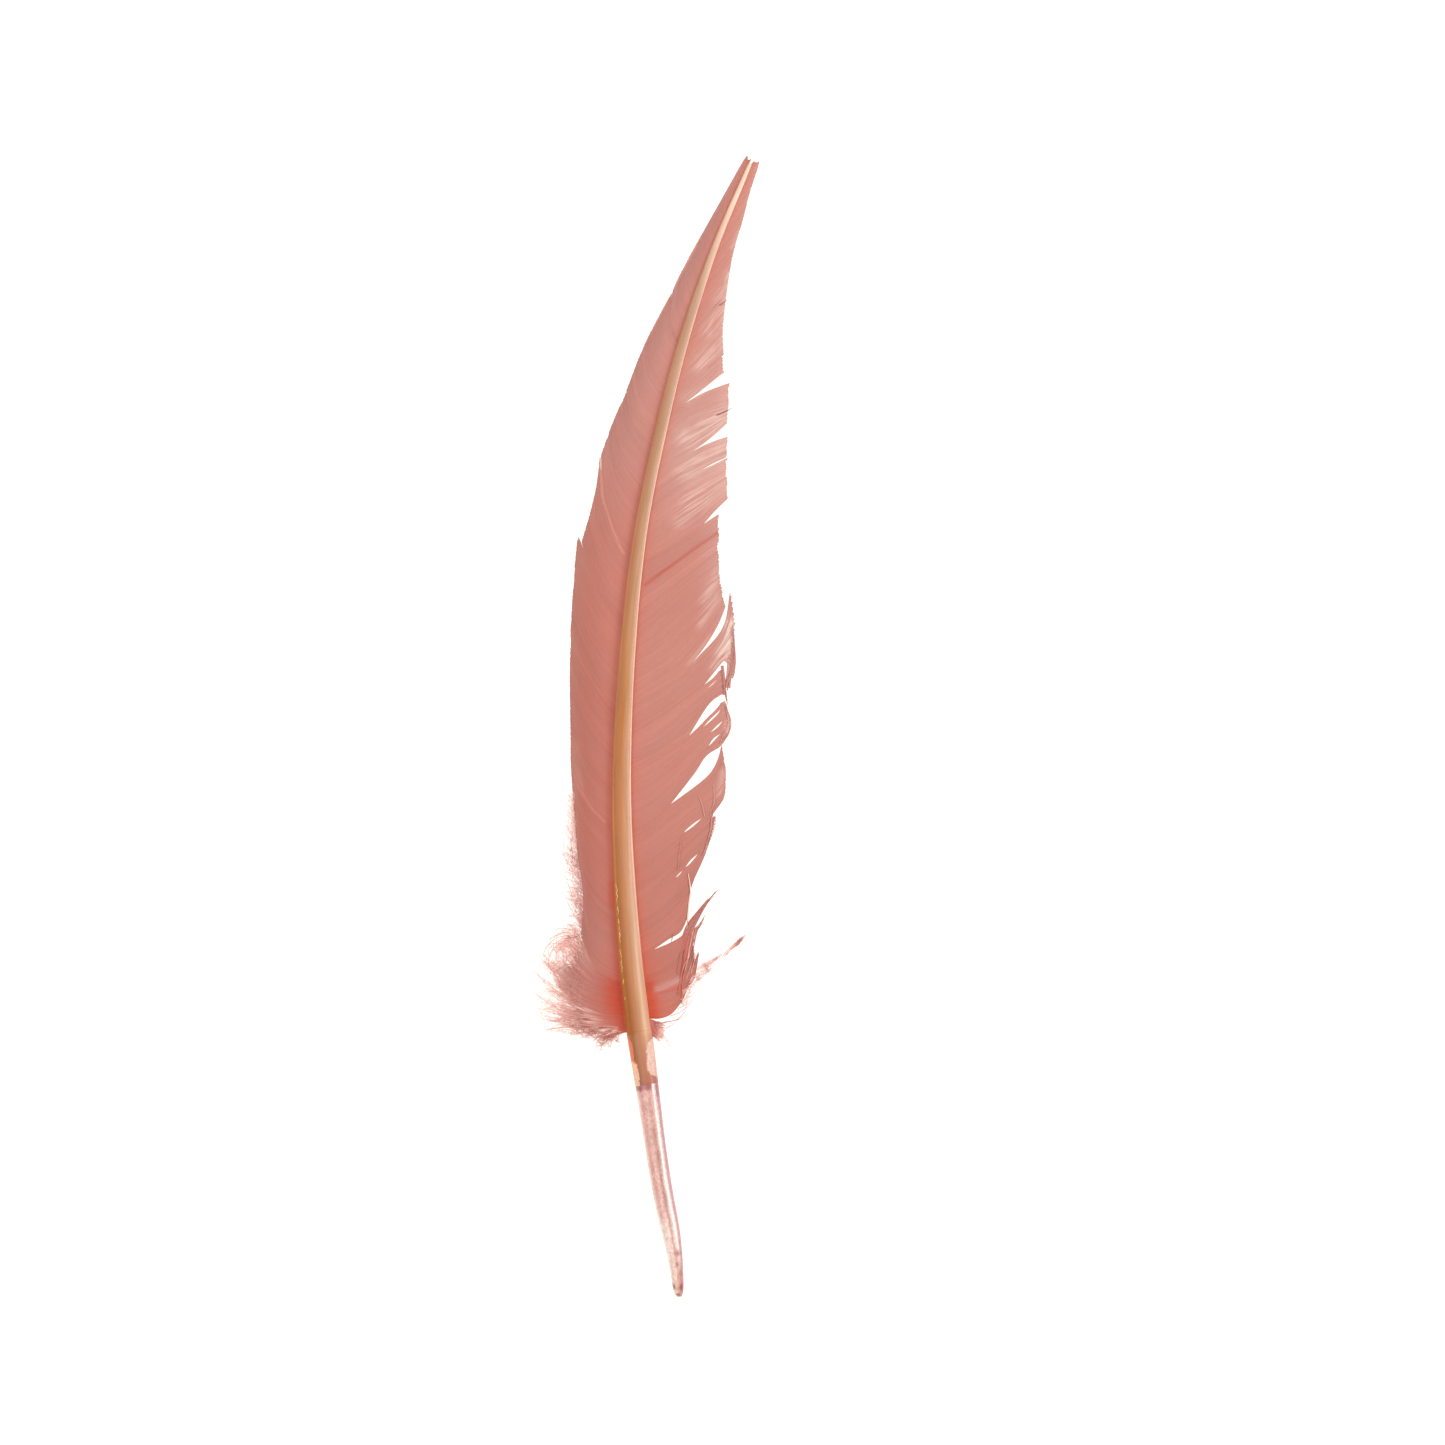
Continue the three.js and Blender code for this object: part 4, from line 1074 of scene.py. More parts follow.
def curls(name, barbs, fluff):
    """Curled pale down over the notch between the left vane and the fan."""
    rng = random_for(name)
    run = np.linspace(0, 1, HAIR_SAMPLES)
    middle = np.array([-20.8, -59.5]) + rng.normal(0, 1, (barbs, 1, 2)) * (1.3, 1.6)
    start = rng.uniform(-0.9, 0.5, (barbs, 1))
    turn = start + rng.uniform(1.4, 3.6, (barbs, 1)) * run
    size = rng.uniform(1.6, 5.2, (barbs, 1)) * (1 - 0.25 * run)
    plan = middle + np.stack([size * np.cos(turn) * 0.95, size * np.sin(turn) * 0.9], -1)
    height = 0.4 + rng.uniform(0, 1.6, (barbs, 1)) + 0.3 * run
    lines = wavy(rng, raised(plan, height), 0.4)
    radius = tapering(0.1, 0.6, run, barbs)
    pale = np.clip(rng.uniform(0.2, 1.2, (barbs, 1, 1)), 0, 1)
    colour = linear((216, 152, 142)) * (1 - pale) + linear((246, 208, 200)) * pale + 0 * lines
    hairs(name + "_barbs", lines, radius, colour, "pale_down", DOWN, shade=0.06)
    grown, radii = barbules(rng, lines, fluff, 1.5, 0.026)
    hairs(name + "_barbules", grown, radii, linear((242, 200, 190)) + 0 * grown, "pale_down", DOWN)


curls("fan_curls", 52, 26)


def loose_barbs(name, path, count, width, thickness, slot, look, colour_of, fluff=0, replaces=(),
                lift=0.5, even=0):
    """Barbs on the inner vane's side that lie together along a path and meet at its tip.

    The even share of the path is as wide all along, and the barbs start here and there in it.
    """
    rng = random_for(name)
    run = np.linspace(0, 1, HAIR_SAMPLES)
    line = by_length(catmull_rom(path, FINE), run)
    heading = unit(np.gradient(line, axis=0))
    square = np.stack([heading[:, 1], -heading[:, 0]], -1)
    place = np.linspace(-0.5, 0.5, count)[:, None]
    narrowing = 1 - 0.93 * np.clip((run - even) / (1 - even), 0, 1) ** 0.8
    offset = place * width * narrowing + rng.normal(0, 0.08, (count, 1)) * run
    plan = shortened(line[None] + square[None] * offset[..., None], rng.uniform(0.8, 1, count),
                     rng.uniform(0, 1, count) * even)
    height = vane_height(RIGHT, plan[..., 0], plan[..., 1]) + lift + rng.uniform(0, 0.2, (count, 1))
    lines = wavy(rng, raised(plan, height), 0.1)
    radius = tapering(thickness, 0.75, run, count)
    hairs(name + "_barbs", lines, radius, colour_of(lines), slot, look, replaces, flat=0.5)
    if fluff:
        grown, radii = barbules(rng, lines, fluff, 1.3, 0.028)
        hairs(name + "_barbules", grown, radii, colour_of(grown), slot, look)


def fold_dye(lines):
    return vane_dye(RIGHT, lines[..., 0], lines[..., 1]) * np.array([1.04, 1.0, 1.04])


# The dye with painted sheen, lightened further as a painted highlight on the strands.
def sheen_painted_dye(lines):
    return vane_dye(RIGHT, lines[..., 0], lines[..., 1], 0.8) * np.array([1.2, 1.24, 1.28])


def wisp_dye(lines):
    """Pale wisps, darker here and there along them."""
    dark = (0.5 + 0.5 * np.sin(lines[..., 0] * 1.7 + lines[..., 1] * 0.9))[..., None] ** 3 * 0.65
    dark = np.maximum(dark, 0.9 * np.exp(-((lines[..., :1] - 24.6) / 1.5) ** 2))
    return over(linear((240, 192, 182)), linear((180, 112, 102)), dark)


# Each strand's barbs, width, thickness, lift above the vane, dye and even share.
STRAND_SIZES = {
    "edge_strand_1": (10, 1, 0.16, 0.15, fold_dye, 0.45),
    "edge_strand_3": (5, 0.6, 0.13, 0.3, fold_dye, 0),
    "edge_strand_4": (11, 2.3, 0.17, -0.35, sheen_painted_dye, 0),
    "edge_strand_5": (9, 1.7, 0.17, -0.35, sheen_painted_dye, 0),
    "edge_strand_2": (8, 1, 0.15, 0.1, sheen_painted_dye, 0.3),
    "spike_strand_1": (20, 2, 0.2, 0.04, fold_dye, 0.55),
    "spike_strand_2": (12, 1.4, 0.16, 0.04, fold_dye, 0.5),
    "spike_strand_3": (17, 2, 0.17, 0.04, fold_dye, 0.3),
}
for name, path in STRANDS.items():
    count, width, thickness, lift, dye, even = STRAND_SIZES[name]
    loose_barbs(name, path, count, width, thickness, "pink_barbs", BARBS, dye,
                replaces=[name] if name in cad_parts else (), lift=lift, even=even)
for number, (path, count, width, thickness, fluff, even) in enumerate(WISPS):
    loose_barbs(f"side_wisp_{number + 1}", path, count, width, thickness, "pale_down", DOWN, wisp_dye,
                fluff, replaces=["downy_strand"] if number == 0 else (), even=even)


def base_tuft():
    """The short ragged tuft at the foot of the inner vane."""
    name = "inner_down_1"
    rng = random_for(name)
    reach = np.linspace(0, 1, 14)
    guides = [(-77.2, [(3.2, -77.8), (5.2, -78.6)]), (-78.4, [(3.4, -80), (5.4, -81.4)]),
              (-79.6, [(2.4, -81.4), (4.2, -82.9)])]
    paths = np.stack([guide_path(RIGHT, guide, reach) for guide in guides])
    barbs = 70
    t = rng.uniform(0, 1, (barbs, 1)) + rng.normal(0, 0.05, (barbs, 1)) * reach
    plan = shortened(between_guides(paths, t), rng.uniform(0.7, 1, barbs))
    height = vane_height(RIGHT, plan[..., 0], plan[..., 1]) * (1 - 0.5 * reach)
    height = height + rng.uniform(0, 0.3, (barbs, 1))
    lines = wavy(rng, raised(plan, height), 0.2)
    radius = (0.2 - 0.14 * smoothstep(0.6, 1, reach))[None] * np.ones((barbs, 1))
    pale = (0.5 * smoothstep(0.4, 1, reach))[None, :, None]
    dye = vane_dye(RIGHT, plan[..., 0], plan[..., 1]) * 0.3 + linear((184, 116, 108)) * 0.7
    dye = over(dye, linear(PALE_DOWN), pale)
    hairs(name + "_barbs", lines, radius, dye, "pale_down", DOWN, [name], flat=0.3)
    grown, radii = barbules(rng, lines, 24, 1.1, 0.028, first=0.6)
    hairs(name + "_barbules", grown, radii, linear((248, 206, 196)) + 0 * grown, "pale_down", DOWN)


base_tuft()


def wool():
    """Pale woolly down along the left edge, growing from under the vane and lying back along it."""
    name = "downy_edge"
    rng = random_for(name)
    barbs = 220
    run = np.linspace(0, 1, 12)
    inner, outer = catmull_rom(WOOL_ROOTS, FINE), catmull_rom(WOOL_ENDS, FINE)
    start = rng.uniform(0, 0.92, barbs)
    finish = np.clip(start + rng.uniform(0.06, 0.2, barbs), 0, 1)
    out = rng.uniform(0.1, 1, barbs)[:, None] ** 0.7
    first, near, far = by_length(inner, start), by_length(inner, finish), by_length(outer, finish)
    last = near + (far - near) * out
    plan = first[:, None] + (last - first)[:, None] * run[None, :, None]
    height = 0.3 + rng.uniform(0, 1, (barbs, 1)) * (0.3 + run)
    lines = wavy(rng, raised(plan, height), 0.35)
    radius = tapering(0.05, 0.5, run, barbs)
    pale = linear((250, 212, 204)) + 0 * lines
    hairs(name + "_barbs", lines, radius, pale, "pale_down", DOWN, [name], shade=0.1)
    grown, radii = barbules(rng, lines, 28, 1.0, 0.032)
    tone = np.repeat(rng.uniform(0, 1, (len(grown), 1, 1)), grown.shape[1], 1)
    tone = np.clip(tone ** 1.7 + 0.7 * smoothstep(-34, -27, grown[..., 1:2]), 0, 1)
    colour = over(linear((192, 124, 120)), linear((248, 214, 206)), tone)
    hairs(name + "_barbules", grown, radii, colour, "pale_down", DOWN)


wool()

# ---------------------------------------------------------------- shaft

SHAFT_SIDES = 64
SHAFT_STATIONS = 560
CORE_STATIONS = 90
SHAFT_ROUNDNESS = profile([(-74, 2), (-45, 2.5), (-20, 3), (60, 3.2), (SHAFT_TIP, 2.6)])

# Colours along the shaft, at some shares of its half width from its left side to its right. The pale column
# at 0.91 is a painted highlight along the right edge, and the darker brown of the left side is partly the
# horn's own colour and partly painted shade.
SHAFT_COLUMNS_AND_PAINTED_LIGHT = columns(
    (-1, (148, 206, 146, 118), (112, 186, 130, 98), (60, 196, 126, 88), (0, 186, 114, 70),
        (-40, 192, 118, 66), (-80, 176, 104, 46)),
    (-0.8, (148, 214, 162, 134), (112, 186, 134, 102), (60, 190, 130, 92), (0, 178, 114, 70),
        (-40, 178, 114, 66), (-80, 166, 96, 42)),
    (-0.62, (148, 228, 180, 156), (130, 214, 168, 142), (112, 188, 141, 111), (60, 168, 114, 79),
        (0, 166, 103, 54), (-40, 161, 98, 40), (-80, 158, 89, 35)),
    (-0.42, (148, 231, 186, 164), (130, 213, 168, 144), (112, 184, 138, 110), (60, 168, 115, 78),
        (0, 168, 96, 44), (-40, 164, 95, 42), (-80, 164, 92, 38)),
    (-0.2, (148, 234, 194, 172), (130, 218, 178, 156), (112, 184, 142, 116), (60, 172, 122, 87),
        (0, 175, 107, 50), (-19, 177, 107, 58), (-40, 175, 110, 62), (-80, 174, 106, 58)),
    (0, (148, 236, 198, 177), (130, 222, 184, 162), (112, 186, 147, 122), (60, 177, 129, 97),
        (25, 180, 129, 90), (4, 180, 114, 50), (-19, 181, 116, 73), (-40, 179, 121, 77),
        (-80, 181, 121, 81)),
    (0.27, (148, 238, 202, 182), (130, 224, 188, 168), (112, 190, 153, 129), (60, 182, 139, 111),
        (0, 188, 131, 90), (-20, 189, 138, 104), (-80, 191, 142, 106)),
    (0.5, (148, 240, 206, 186), (130, 226, 191, 172), (112, 193, 156, 133), (60, 184, 142, 116),
        (0, 188, 136, 99), (-40, 194, 146, 116), (-66, 202, 158, 126), (-80, 202, 156, 122)),
    (0.8, (148, 242, 208, 190), (112, 202, 158, 134), (60, 198, 152, 125), (0, 200, 146, 115),
        (-40, 207, 160, 134), (-66, 204, 154, 126), (-80, 194, 143, 114)),
    (0.91, (148, 246, 216, 200), (112, 240, 206, 188), (60, 248, 220, 202), (-34, 250, 212, 190),
        (-54, 236, 190, 164), (-66, 212, 160, 132), (-80, 196, 138, 108)),
    (0.98, (148, 240, 198, 176), (60, 230, 174, 150), (-34, 220, 150, 122), (-80, 198, 118, 84)),
    (1, (148, 226, 176, 150), (60, 206, 132, 104), (-34, 204, 122, 92), (-80, 196, 108, 74)),
)


def blended(columns, share, station):
    """Colours between columns: each column is a share across and the colours along it."""
    shares = np.array([s for s, _ in columns])
    colours = np.stack([colour(station) for _, colour in columns])
    place = np.interp(share, shares, np.arange(len(shares)))
    i = np.minimum(place.astype(int), len(shares) - 2)
    w = (place - i)[..., None]
    grid = np.indices(share.shape)
    return colours[(i, *grid)] * (1 - w) + colours[(i + 1, *grid)] * w


def swollen(value, roundness):
    """A unit circle's coordinate pushed out towards a square's."""
    return np.sign(value) * np.abs(value) ** (2 / roundness)


def rod_rings(stations, section, sides=SHAFT_SIDES):
    """Rings round the shaft's line: points, shares across, and coordinates along and round the rod."""
    angle = 2 * math.pi * np.arange(sides) / sides
    lean, rise = np.cos(angle), -np.sin(angle)
    half_width, half_depth, middle, roundness, groove = (part[:, None] for part in section(stations))
    share = swollen(lean, roundness)
    offset = half_width * share
    plan = beside_shaft(stations[:, None] + np.zeros(sides), offset)
    dent = (1 - groove) * np.exp(-(lean / 0.32) ** 2) * (rise < 0)
    height = middle + half_depth * swollen(rise, roundness) * (1 - dent)
    rings = raised(plan, height)
    along = np.stack([offset, stations[:, None] + 0 * offset, height - middle], -1)
    return rings, share, along


CORE_FOOT = -93.9
CORE_LIFT = 0.03


def shell_section(stations):
    """The shell's section. Below the collar it runs on as a thin skin over the barrel."""
    core = stations < COLLAR
    radius = barrel_radius(stations) + CORE_LIFT
    return (np.where(core, radius, shaft_half_width(stations)),
            np.where(core, radius, shaft_half_depth(stations)),
            np.where(core, barrel_middle(stations), shaft_middle(stations)),
            SHAFT_ROUNDNESS(stations), groove_share(stations))


SHAFT_DEPTH = 1.06
SHAFT_BLOTCHES = [
    (5, -0.25, 5, 0.35, (176, 104, 52), 0.5),
    (-20, -0.1, 9, 0.5, (178, 112, 70), 0.35),
    (-33, 0.2, 6, 0.4, (182, 122, 86), 0.35),
    (-4, 0.3, 6, 0.3, (196, 140, 108), 0.4),
    (-55, -0.85, 16, 0.22, (178, 116, 48), 0.6),
]


def blotched(colour, share, station, blotches):
    """Soft oval stains: (station, share, length, width, colour, strength)."""
    for at, across, length, width, tint, strength in blotches:
        cover = strength * np.exp(-((station - at) / length) ** 2 - ((share - across) / width) ** 2)
        colour = over(colour, linear(tint), cover[..., None])
    return colour


# ---------------------------------------------------------------- barrel

BARREL_RING_SIDES = 80
BARREL_STATIONS = 420
BORE_STATIONS = 40


def barrel_section(inset):
    def section(stations):
        radius = np.maximum(barrel_radius(stations) - inset, TIP_HOLE_RADIUS)
        flat = np.ones_like(stations)
        return radius, radius, barrel_middle(stations), 2 * flat, flat
    return section


# Colours across the barrel, from its left side to its right. The pale columns at 0.52 and 0.68 are a painted
# highlight running down the barrel.
BARREL_COLUMNS_AND_PAINTED_HIGHLIGHT = columns(
    (-1, (-94, 246, 220, 210), (-126, 250, 226, 216), (-132, 252, 238, 230), (-150, 248, 224, 210)),
    (-0.7, (-94, 230, 172, 162), (-126, 238, 186, 176), (-132, 250, 222, 212), (-150, 244, 206, 190)),
    (-0.2, (-94, 226, 170, 160), (-112, 230, 180, 168), (-126, 232, 184, 174), (-134, 248, 214, 204),
        (-150, 244, 192, 174)),
    (0.15, (-94, 216, 164, 152), (-112, 215, 168, 155), (-126, 220, 174, 163), (-134, 240, 198, 188),
        (-150, 234, 176, 162)),
    (0.38, (-94, 226, 178, 170), (-112, 234, 194, 184), (-134, 246, 214, 204), (-150, 226, 174, 160)),
    (0.52, (-94, 246, 218, 212), (-112, 253, 238, 232), (-137, 253, 240, 234), (-142, 232, 186, 174),
        (-150, 220, 164, 152)),
    (0.68, (-94, 232, 196, 190), (-112, 240, 210, 205), (-137, 236, 202, 196), (-142, 222, 174, 164),
        (-150, 216, 160, 148)),
    (0.78, (-94, 198, 134, 140), (-112, 204, 143, 146), (-137, 206, 148, 146), (-150, 200, 138, 130)),
    (0.95, (-94, 190, 124, 132), (-112, 200, 138, 142), (-150, 202, 142, 136)),
)
BARREL_BLOTCHES = [
    (-147.4, 0.6, 1.3, 0.4, (158, 66, 58), 0.95),
    (-138.5, 0.4, 0.8, 0.4, (176, 108, 104), 0.85),
    (-144, 0.5, 1.6, 0.25, (184, 118, 114), 0.8),
    (-141.3, 0.2, 0.7, 0.2, (166, 104, 98), 0.85),
    (-147.2, -0.75, 0.8, 0.3, (140, 80, 60), 0.9),
    (-149.4, -0.2, 0.3, 0.6, (120, 66, 44), 0.9),
    (-128, -0.55, 1.2, 0.2, (214, 150, 138), 0.6),
    (-121, -0.4, 1.6, 0.25, (214, 146, 136), 0.5),
    (-115.5, -0.6, 1.2, 0.2, (212, 144, 134), 0.5),
    (-107, 0, 2.2, 0.3, (186, 126, 112), 0.65),
    (-100, -0.3, 1.4, 0.35, (206, 140, 130), 0.5),
    (-113, 0.15, 2.6, 0.25, (174, 118, 110), 0.65),
    (-124, 0.2, 1.8, 0.2, (184, 132, 116), 0.6),
]

# The pith's tongue shows between these two ragged edges in the collar.
CORE_LEFT = profile([
    (-94, -0.6), (-91, -0.52), (-88.6, -0.56), (-87.4, -0.72), (-86, -0.7), (-83.5, -0.66),
    (-81, -0.85), (-80, -1.1),
])
CORE_RIGHT = profile([
    (-94, 1.1), (-92.4, 0.85), (-91.3, 0.45), (-90, 0.26), (-88, 0.32), (-85, 0.4), (-83.6, 0.5),
    (-82.6, 0.85), (-81.5, 1.1),
])
CORE_COLUMNS = columns(
    (-1, (-80, 176, 104, 52), (-94, 164, 88, 68)),
    (-0.62, (-80, 166, 100, 60), (-94, 164, 98, 74)),
    (0, (-80, 184, 126, 90), (-94, 170, 104, 78)),
    (0.5, (-80, 200, 152, 118), (-94, 176, 110, 86)),
    (0.9, (-80, 188, 132, 100), (-94, 176, 108, 92)),
)
PEACH = (220, 142, 114)
CREAM = (226, 180, 160)
RING = (168, 88, 84)
STRIPE = (178, 100, 108)
PULP_LINE = (184, 126, 114)


def ragged(seed, station, pitch):
    """A random wander along the shaft, about -1 to 1."""
    rng = random_for(seed)
    knots = np.arange(BARREL_END, SHAFT_TIP, pitch)
    return np.interp(station, knots, rng.uniform(-1, 1, len(knots)))


def barrel_dye(share, station):
    colour = blended(BARREL_COLUMNS_AND_PAINTED_HIGHLIGHT, share, station)
    colour = blotched(colour, share, station, BARREL_BLOTCHES)
    wander = 0.1 + 0.07 * ragged("pulp line", station, 0.9)
    line = np.exp(-((share - wander) / 0.09) ** 2)
    line = line * smoothstep(-141, -138, station) * smoothstep(-112, -120, station)
    ring = smoothstep(-96, -95, station + 0.35 * ragged("ring foot", share * 40, 2)) * (share < 0.4)
    stripe = smoothstep(0.66, 0.78, share) * smoothstep(-98.5, -96.5, station)
    stripe = stripe * (station < -89.5 - 2 * (1 - share))
    core = ((share > CORE_LEFT(station) + 0.05 * ragged("core left", station, 0.5))
            & (share < CORE_RIGHT(station) + 0.05 * ragged("core right", station, 0.6)))
    above = station > CORE_FOOT + 0.25 * ragged("core foot", share * 30, 3)
    beside = np.where(share[..., None] < 0, linear(PEACH), linear(CREAM))
    upper = np.where(core[..., None], blended(CORE_COLUMNS, share, station), beside)
    for cover, tint in ((line * 0.6, PULP_LINE), (ring * 0.85, RING)):
        colour = over(colour, linear(tint), cover[..., None])
    colour = np.where(above[..., None], upper, colour)
    return colour * (1 - 0.75 * stripe[..., None]) + linear(STRIPE) * 0.75 * stripe[..., None]


def barrel():
    stations = np.linspace(COLLAR, BARREL_END, BARREL_STATIONS)
    outside, out_share, out_along = rod_rings(stations, barrel_section(0), BARREL_RING_SIDES)
    hollow = np.linspace(BARREL_END, COLLAR, BORE_STATIONS)
    inside, in_share, in_along = rod_rings(hollow, barrel_section(BARREL_WALL), BARREL_RING_SIDES)
    rings = np.concatenate([outside, inside])[:, ::-1]
    along = np.concatenate([out_along, in_along])[:, ::-1]
    share = np.concatenate([out_share, in_share])[:, ::-1]
    count, sides, _ = rings.shape
    index = np.arange(count * sides).reshape(count, sides)
    following = np.roll(index, -1, axis=0)
    walls = np.stack([index, np.roll(index, -1, 1), np.roll(following, -1, 1), following], -1).reshape(-1, 4)
    piece("quill_barrel_surface", rings.reshape(-1, 3), walls, "clear_horn", CLEAR_HORN, ["quill_barrel"],
          dye=barrel_dye(share, along[..., 1]), along=along)


def rachis():
    stations = np.concatenate([np.linspace(CORE_FOOT, COLLAR, CORE_STATIONS)[:-1],
                               np.linspace(COLLAR, SHAFT_TIP, SHAFT_STATIONS)])
    rings, share, along = rod_rings(stations, shell_section)
    points, faces = tube_mesh(rings)
    station = along[..., 1]
    dye = blotched(blended(SHAFT_COLUMNS_AND_PAINTED_LIGHT, share, station), share, station, SHAFT_BLOTCHES) * SHAFT_DEPTH
    core = smoothstep(COLLAR, COLLAR - 1.5, station)[..., None]
    dye = over(dye, barrel_dye(share, np.maximum(station, CORE_FOOT + 0.3)), core)
    piece("rachis_shell_surface", points, faces, "horn", HORN, ["rachis_shell"], dye=dye, along=along)


barrel()
rachis()

# ---------------------------------------------------------------- films and flakes on the skin


def patch_rings(stations, section, low, high, lift, steps=10):
    """Rings of a thin sheet on a rod's skin, between two angles round it: 0 is its right, 90 its top."""
    half_width, half_depth, middle, roundness, _ = (part[:, None] for part in section(stations))
    share = np.linspace(0, 1, steps)
    angle = np.radians(low[:, None] + (high - low)[:, None] * share)
    lean, rise = np.cos(angle), np.sin(angle)
    layers = []
    for out, order in ((lift, slice(None)), (-0.06, slice(None, None, -1))):
        height = out if np.ndim(out) else np.full(angle.shape, out)
        offset = (half_width + height) * swollen(lean, roundness)
        plan = beside_shaft(stations[:, None] + 0 * offset, offset)
        z = middle + (half_depth + height) * swollen(rise, roundness)
        layers.append(raised(plan, z)[:, order])
    turn = np.concatenate([angle, angle[:, ::-1]], 1)
    return np.concatenate(layers, 1), turn


def skin_patch(name, slot, look, parts, dye, replaces):
    """One piece made of thin ragged sheets. parts are (rings, angles)."""
    points, faces, colours, along = [], [], [], []
    first = 0
    for rings, turn in parts:
        part_points, part_faces = tube_mesh(rings)
        points.append(part_points)
        faces += [[first + k for k in face] for face in part_faces]
        first += len(part_points)
        station = rings[..., 1]
        colours.append(dye(turn, station).reshape(-1, 3))
        along.append(np.stack([turn * 3, station, 0 * turn], -1).reshape(-1, 3))
    piece(name, np.concatenate(points), faces, slot, look, replaces, smooth=False,
          dye=np.concatenate(colours), along=np.concatenate(along))


def left_film_dye(turn, station):
    """Orange by the core, pale at the rim and lower down."""
    pale = np.clip(smoothstep(-87.8, -89, station + 0.4 * ragged("film tone", turn * 20, 2))
                   + smoothstep(2.75, 3, turn), 0, 1)[..., None]
    return over(linear((220, 118, 84)), linear((236, 186, 156)), pale)


def right_film_dye(turn, station):
    pale = (0.5 + 0.5 * ragged("right film tone", station * 0.4 + turn * 9, 0.8))[..., None]
    return over(linear((196, 142, 126)), linear((232, 196, 182)), pale)


def films():
    stations = np.linspace(-80.4, -94.1, 90)
    inner = np.degrees(np.arccos(np.clip(CORE_LEFT(stations), -1, 1)))
    inner = inner + 4 * ragged("left film", stations, 0.4)
    outer = 205 + 6 * ragged("left film foot", stations, 1.5)
    curl = np.linspace(1, 0, 10) ** 4
    lift = 0.07 + 0.1 * curl[None] * (0.6 + 0.4 * ragged("left film lift", stations, 0.8))[:, None]
    low = np.minimum(inner, 178)
    rings, turn = patch_rings(stations, barrel_section(0), low, outer, lift)
    skin_patch("sheath_film_left_sheet", "sheath_film", FILM, [(rings, turn)], left_film_dye,
               ["sheath_film_left"])

    stations = np.linspace(-82.4, -92.3, 70)
    inner = np.degrees(np.arccos(np.clip(CORE_RIGHT(stations), -1, 0.97)))
    inner = inner + 8 * ragged("right film", stations, 0.3)
    outer = -12 + 5 * ragged("right film foot", stations, 1.5)
    rings, turn = patch_rings(stations, barrel_section(0), outer, np.maximum(inner, outer + 6), 0.07)
    skin_patch("sheath_film_right_sheet", "sheath_film", FILM, [(rings, turn)], right_film_dye,
               ["sheath_film_right"])


# Each golden flake's top and foot stations, and its angle round the shaft.
FLAKES = [
    (-41, -46.4, 133), (-46.9, -49.2, 132), (-50.2, -51.6, 129), (-52, -56.6, 131),
    (-58.2, -60.4, 136), (-60.9, -64.2, 135), (-66, -67.4, 137), (-70.6, -71.4, 138),
]


def flake_dye(turn, station):
    glint = (0.5 + 0.5 * ragged("flake tone", station, 0.5))[..., None]
    return over(linear((222, 160, 92)), linear((255, 224, 178)), glint)


def flakes():
    """A line of split golden skin on the shaft's left shoulder."""
    parts = []
    for number, (top, foot, angle) in enumerate(FLAKES):
        stations = np.linspace(top, foot, max(8, round(abs(top - foot) * 8)))
        along = np.linspace(0, 1, len(stations))
        middle = angle + 5 * ragged(f"flake line {number}", stations, 0.5)
        width = 0.4 + 3.2 * np.sin(math.pi * along) * np.abs(ragged(f"flake width {number}", stations, 0.35))
        parts.append(patch_rings(stations, shell_section, middle - width, middle + width, 0.1, steps=4))
    skin_patch("cuticle_flake_sheet", "golden_flake", FLAKE, parts, flake_dye, ["cuticle_flake"])


films()
flakes()

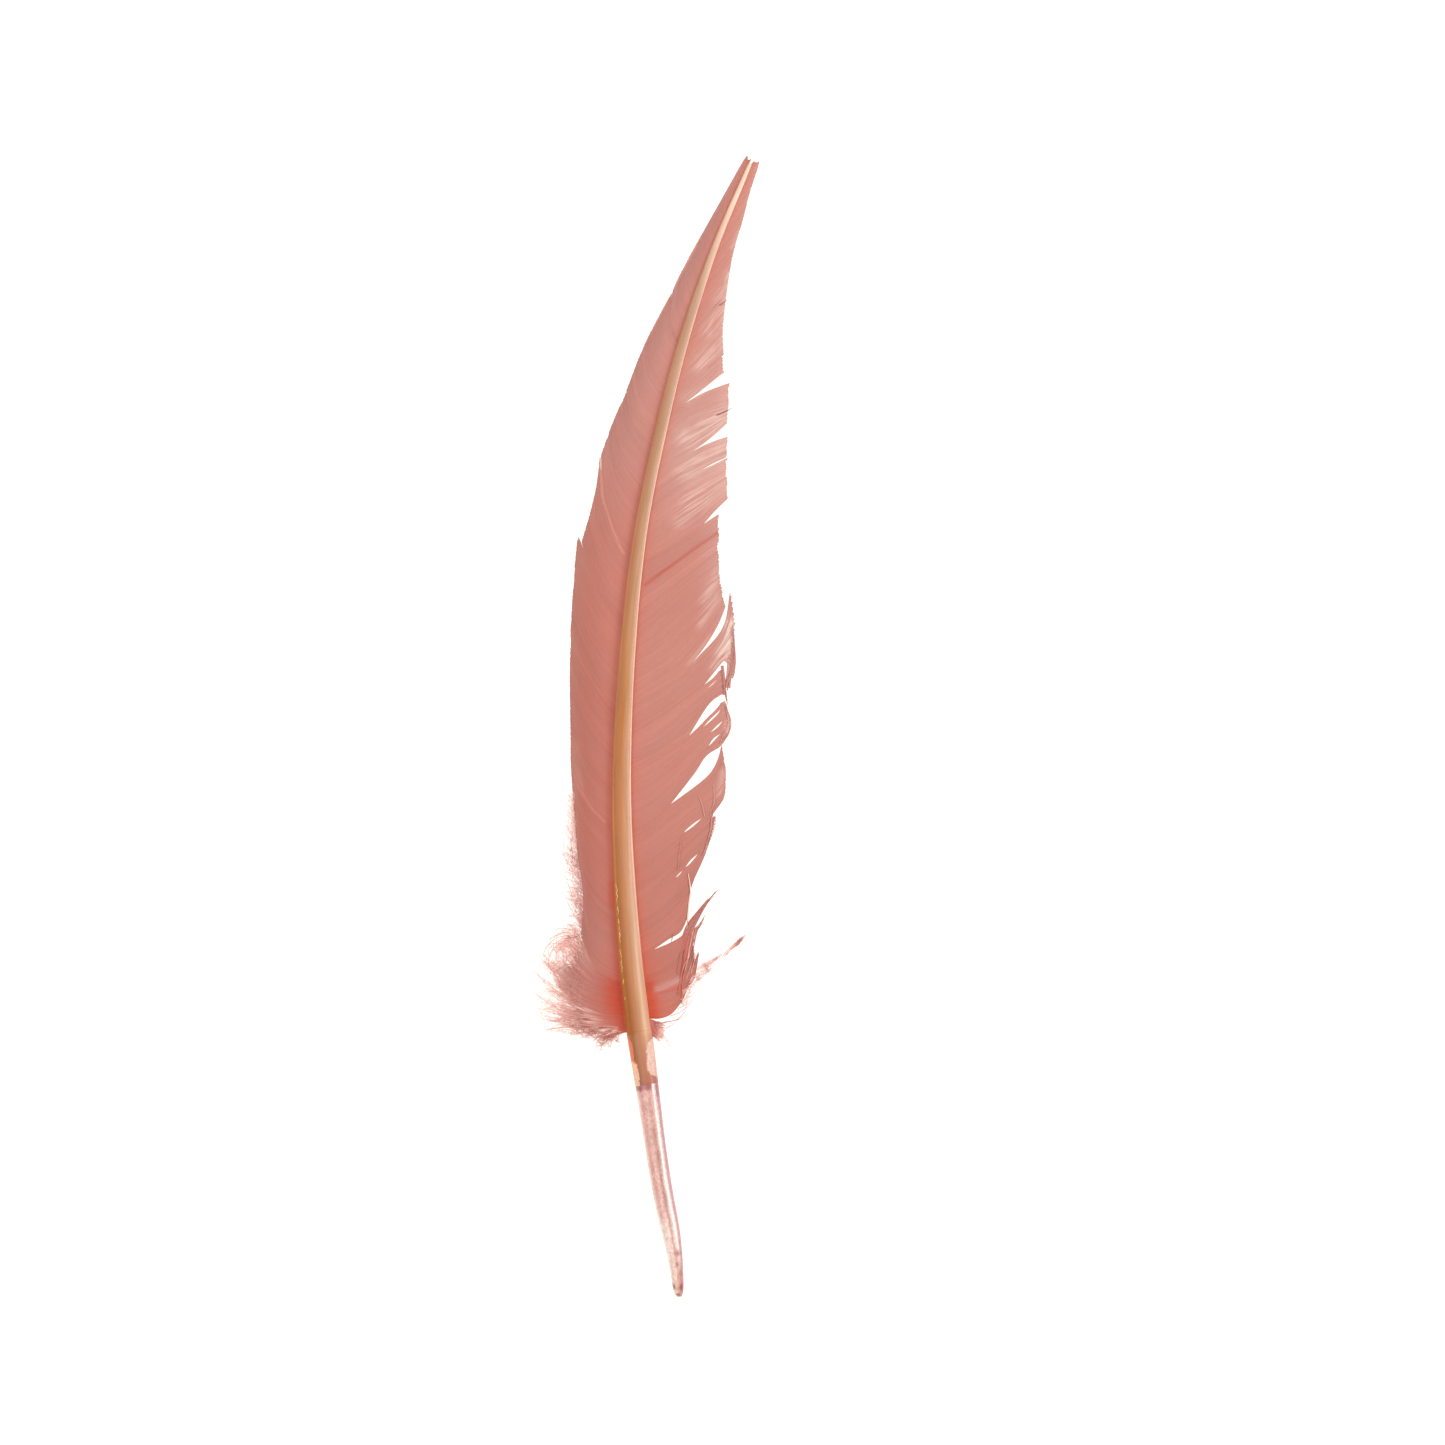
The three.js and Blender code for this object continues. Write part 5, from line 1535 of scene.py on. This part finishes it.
CAD_LOOKS = {
    "rachis_pith": PITH,
    "umbilicus_plug": PULP,
    "tip_pulp": PULP,
    **{f"pulp_cap_{i + 1}": PULP for i in range(PULP_CAPS)},
}
for name, look in CAD_LOOKS.items():
    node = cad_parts[name]
    node.data.materials.clear()
    node.data.materials.append(look)

# ---------------------------------------------------------------- table, light, camera

TABLE_REACH = 6
SKY_COLOUR = (1, 0.985, 0.95, 1)
SKY_STRENGTH = 0.45
CLIP_END = 50


def table():
    mesh = bpy.data.meshes.new("table")
    corners = [(-1, -1), (1, -1), (1, 1), (-1, 1)]
    mesh.from_pydata([(x * TABLE_REACH, y * TABLE_REACH, 0) for x, y in corners], [], [(0, 1, 2, 3)])
    mesh.materials.append(floor_look())
    made = bpy.data.objects.new("table", mesh)
    bpy.context.scene.collection.objects.link(made)


def softbox(name, place, size, power, colour, target=(0, 0, 0)):
    light = bpy.data.lights.new(name, "AREA")
    light.shape = "RECTANGLE"
    light.size, light.size_y = size
    light.energy = power
    light.color = colour
    made = bpy.data.objects.new(name, light)
    made.location = place
    away = made.location - type(made.location)(target)
    made.rotation_euler = away.to_track_quat("Z", "Y").to_euler()
    bpy.context.scene.collection.objects.link(made)


def studio():
    world = bpy.data.worlds.new("studio")
    world.use_nodes = True
    background = world.node_tree.nodes["Background"]
    background.inputs["Color"].default_value = SKY_COLOUR
    background.inputs["Strength"].default_value = SKY_STRENGTH
    bpy.context.scene.world = world
    softbox("key", (1.27, 0.2, 0.8), (1.0, 0.45), 14, (1, 0.99, 0.98))
    softbox("top", (-0.7, -0.1, 1.3), (1.4, 1.4), 15, (1, 0.985, 0.96))


CAMERA_AIM = (20.3, 1.05)
FRAME_WIDTH = 380.3
CAMERA_LENS = 200
SENSOR = 36


def camera():
    data = bpy.data.cameras.new("camera")
    data.lens = CAMERA_LENS
    data.sensor_width = SENSOR
    data.clip_end = CLIP_END
    made = bpy.data.objects.new("camera", data)
    made.location = ((CAMERA_AIM[0] + SHIFT[0]) * MM, (CAMERA_AIM[1] + SHIFT[1]) * MM,
                     FRAME_WIDTH * MM * CAMERA_LENS / SENSOR)
    bpy.context.scene.collection.objects.link(made)
    bpy.context.scene.camera = made


table()
studio()
camera()
bpy.context.scene.view_settings.view_transform = "Standard"
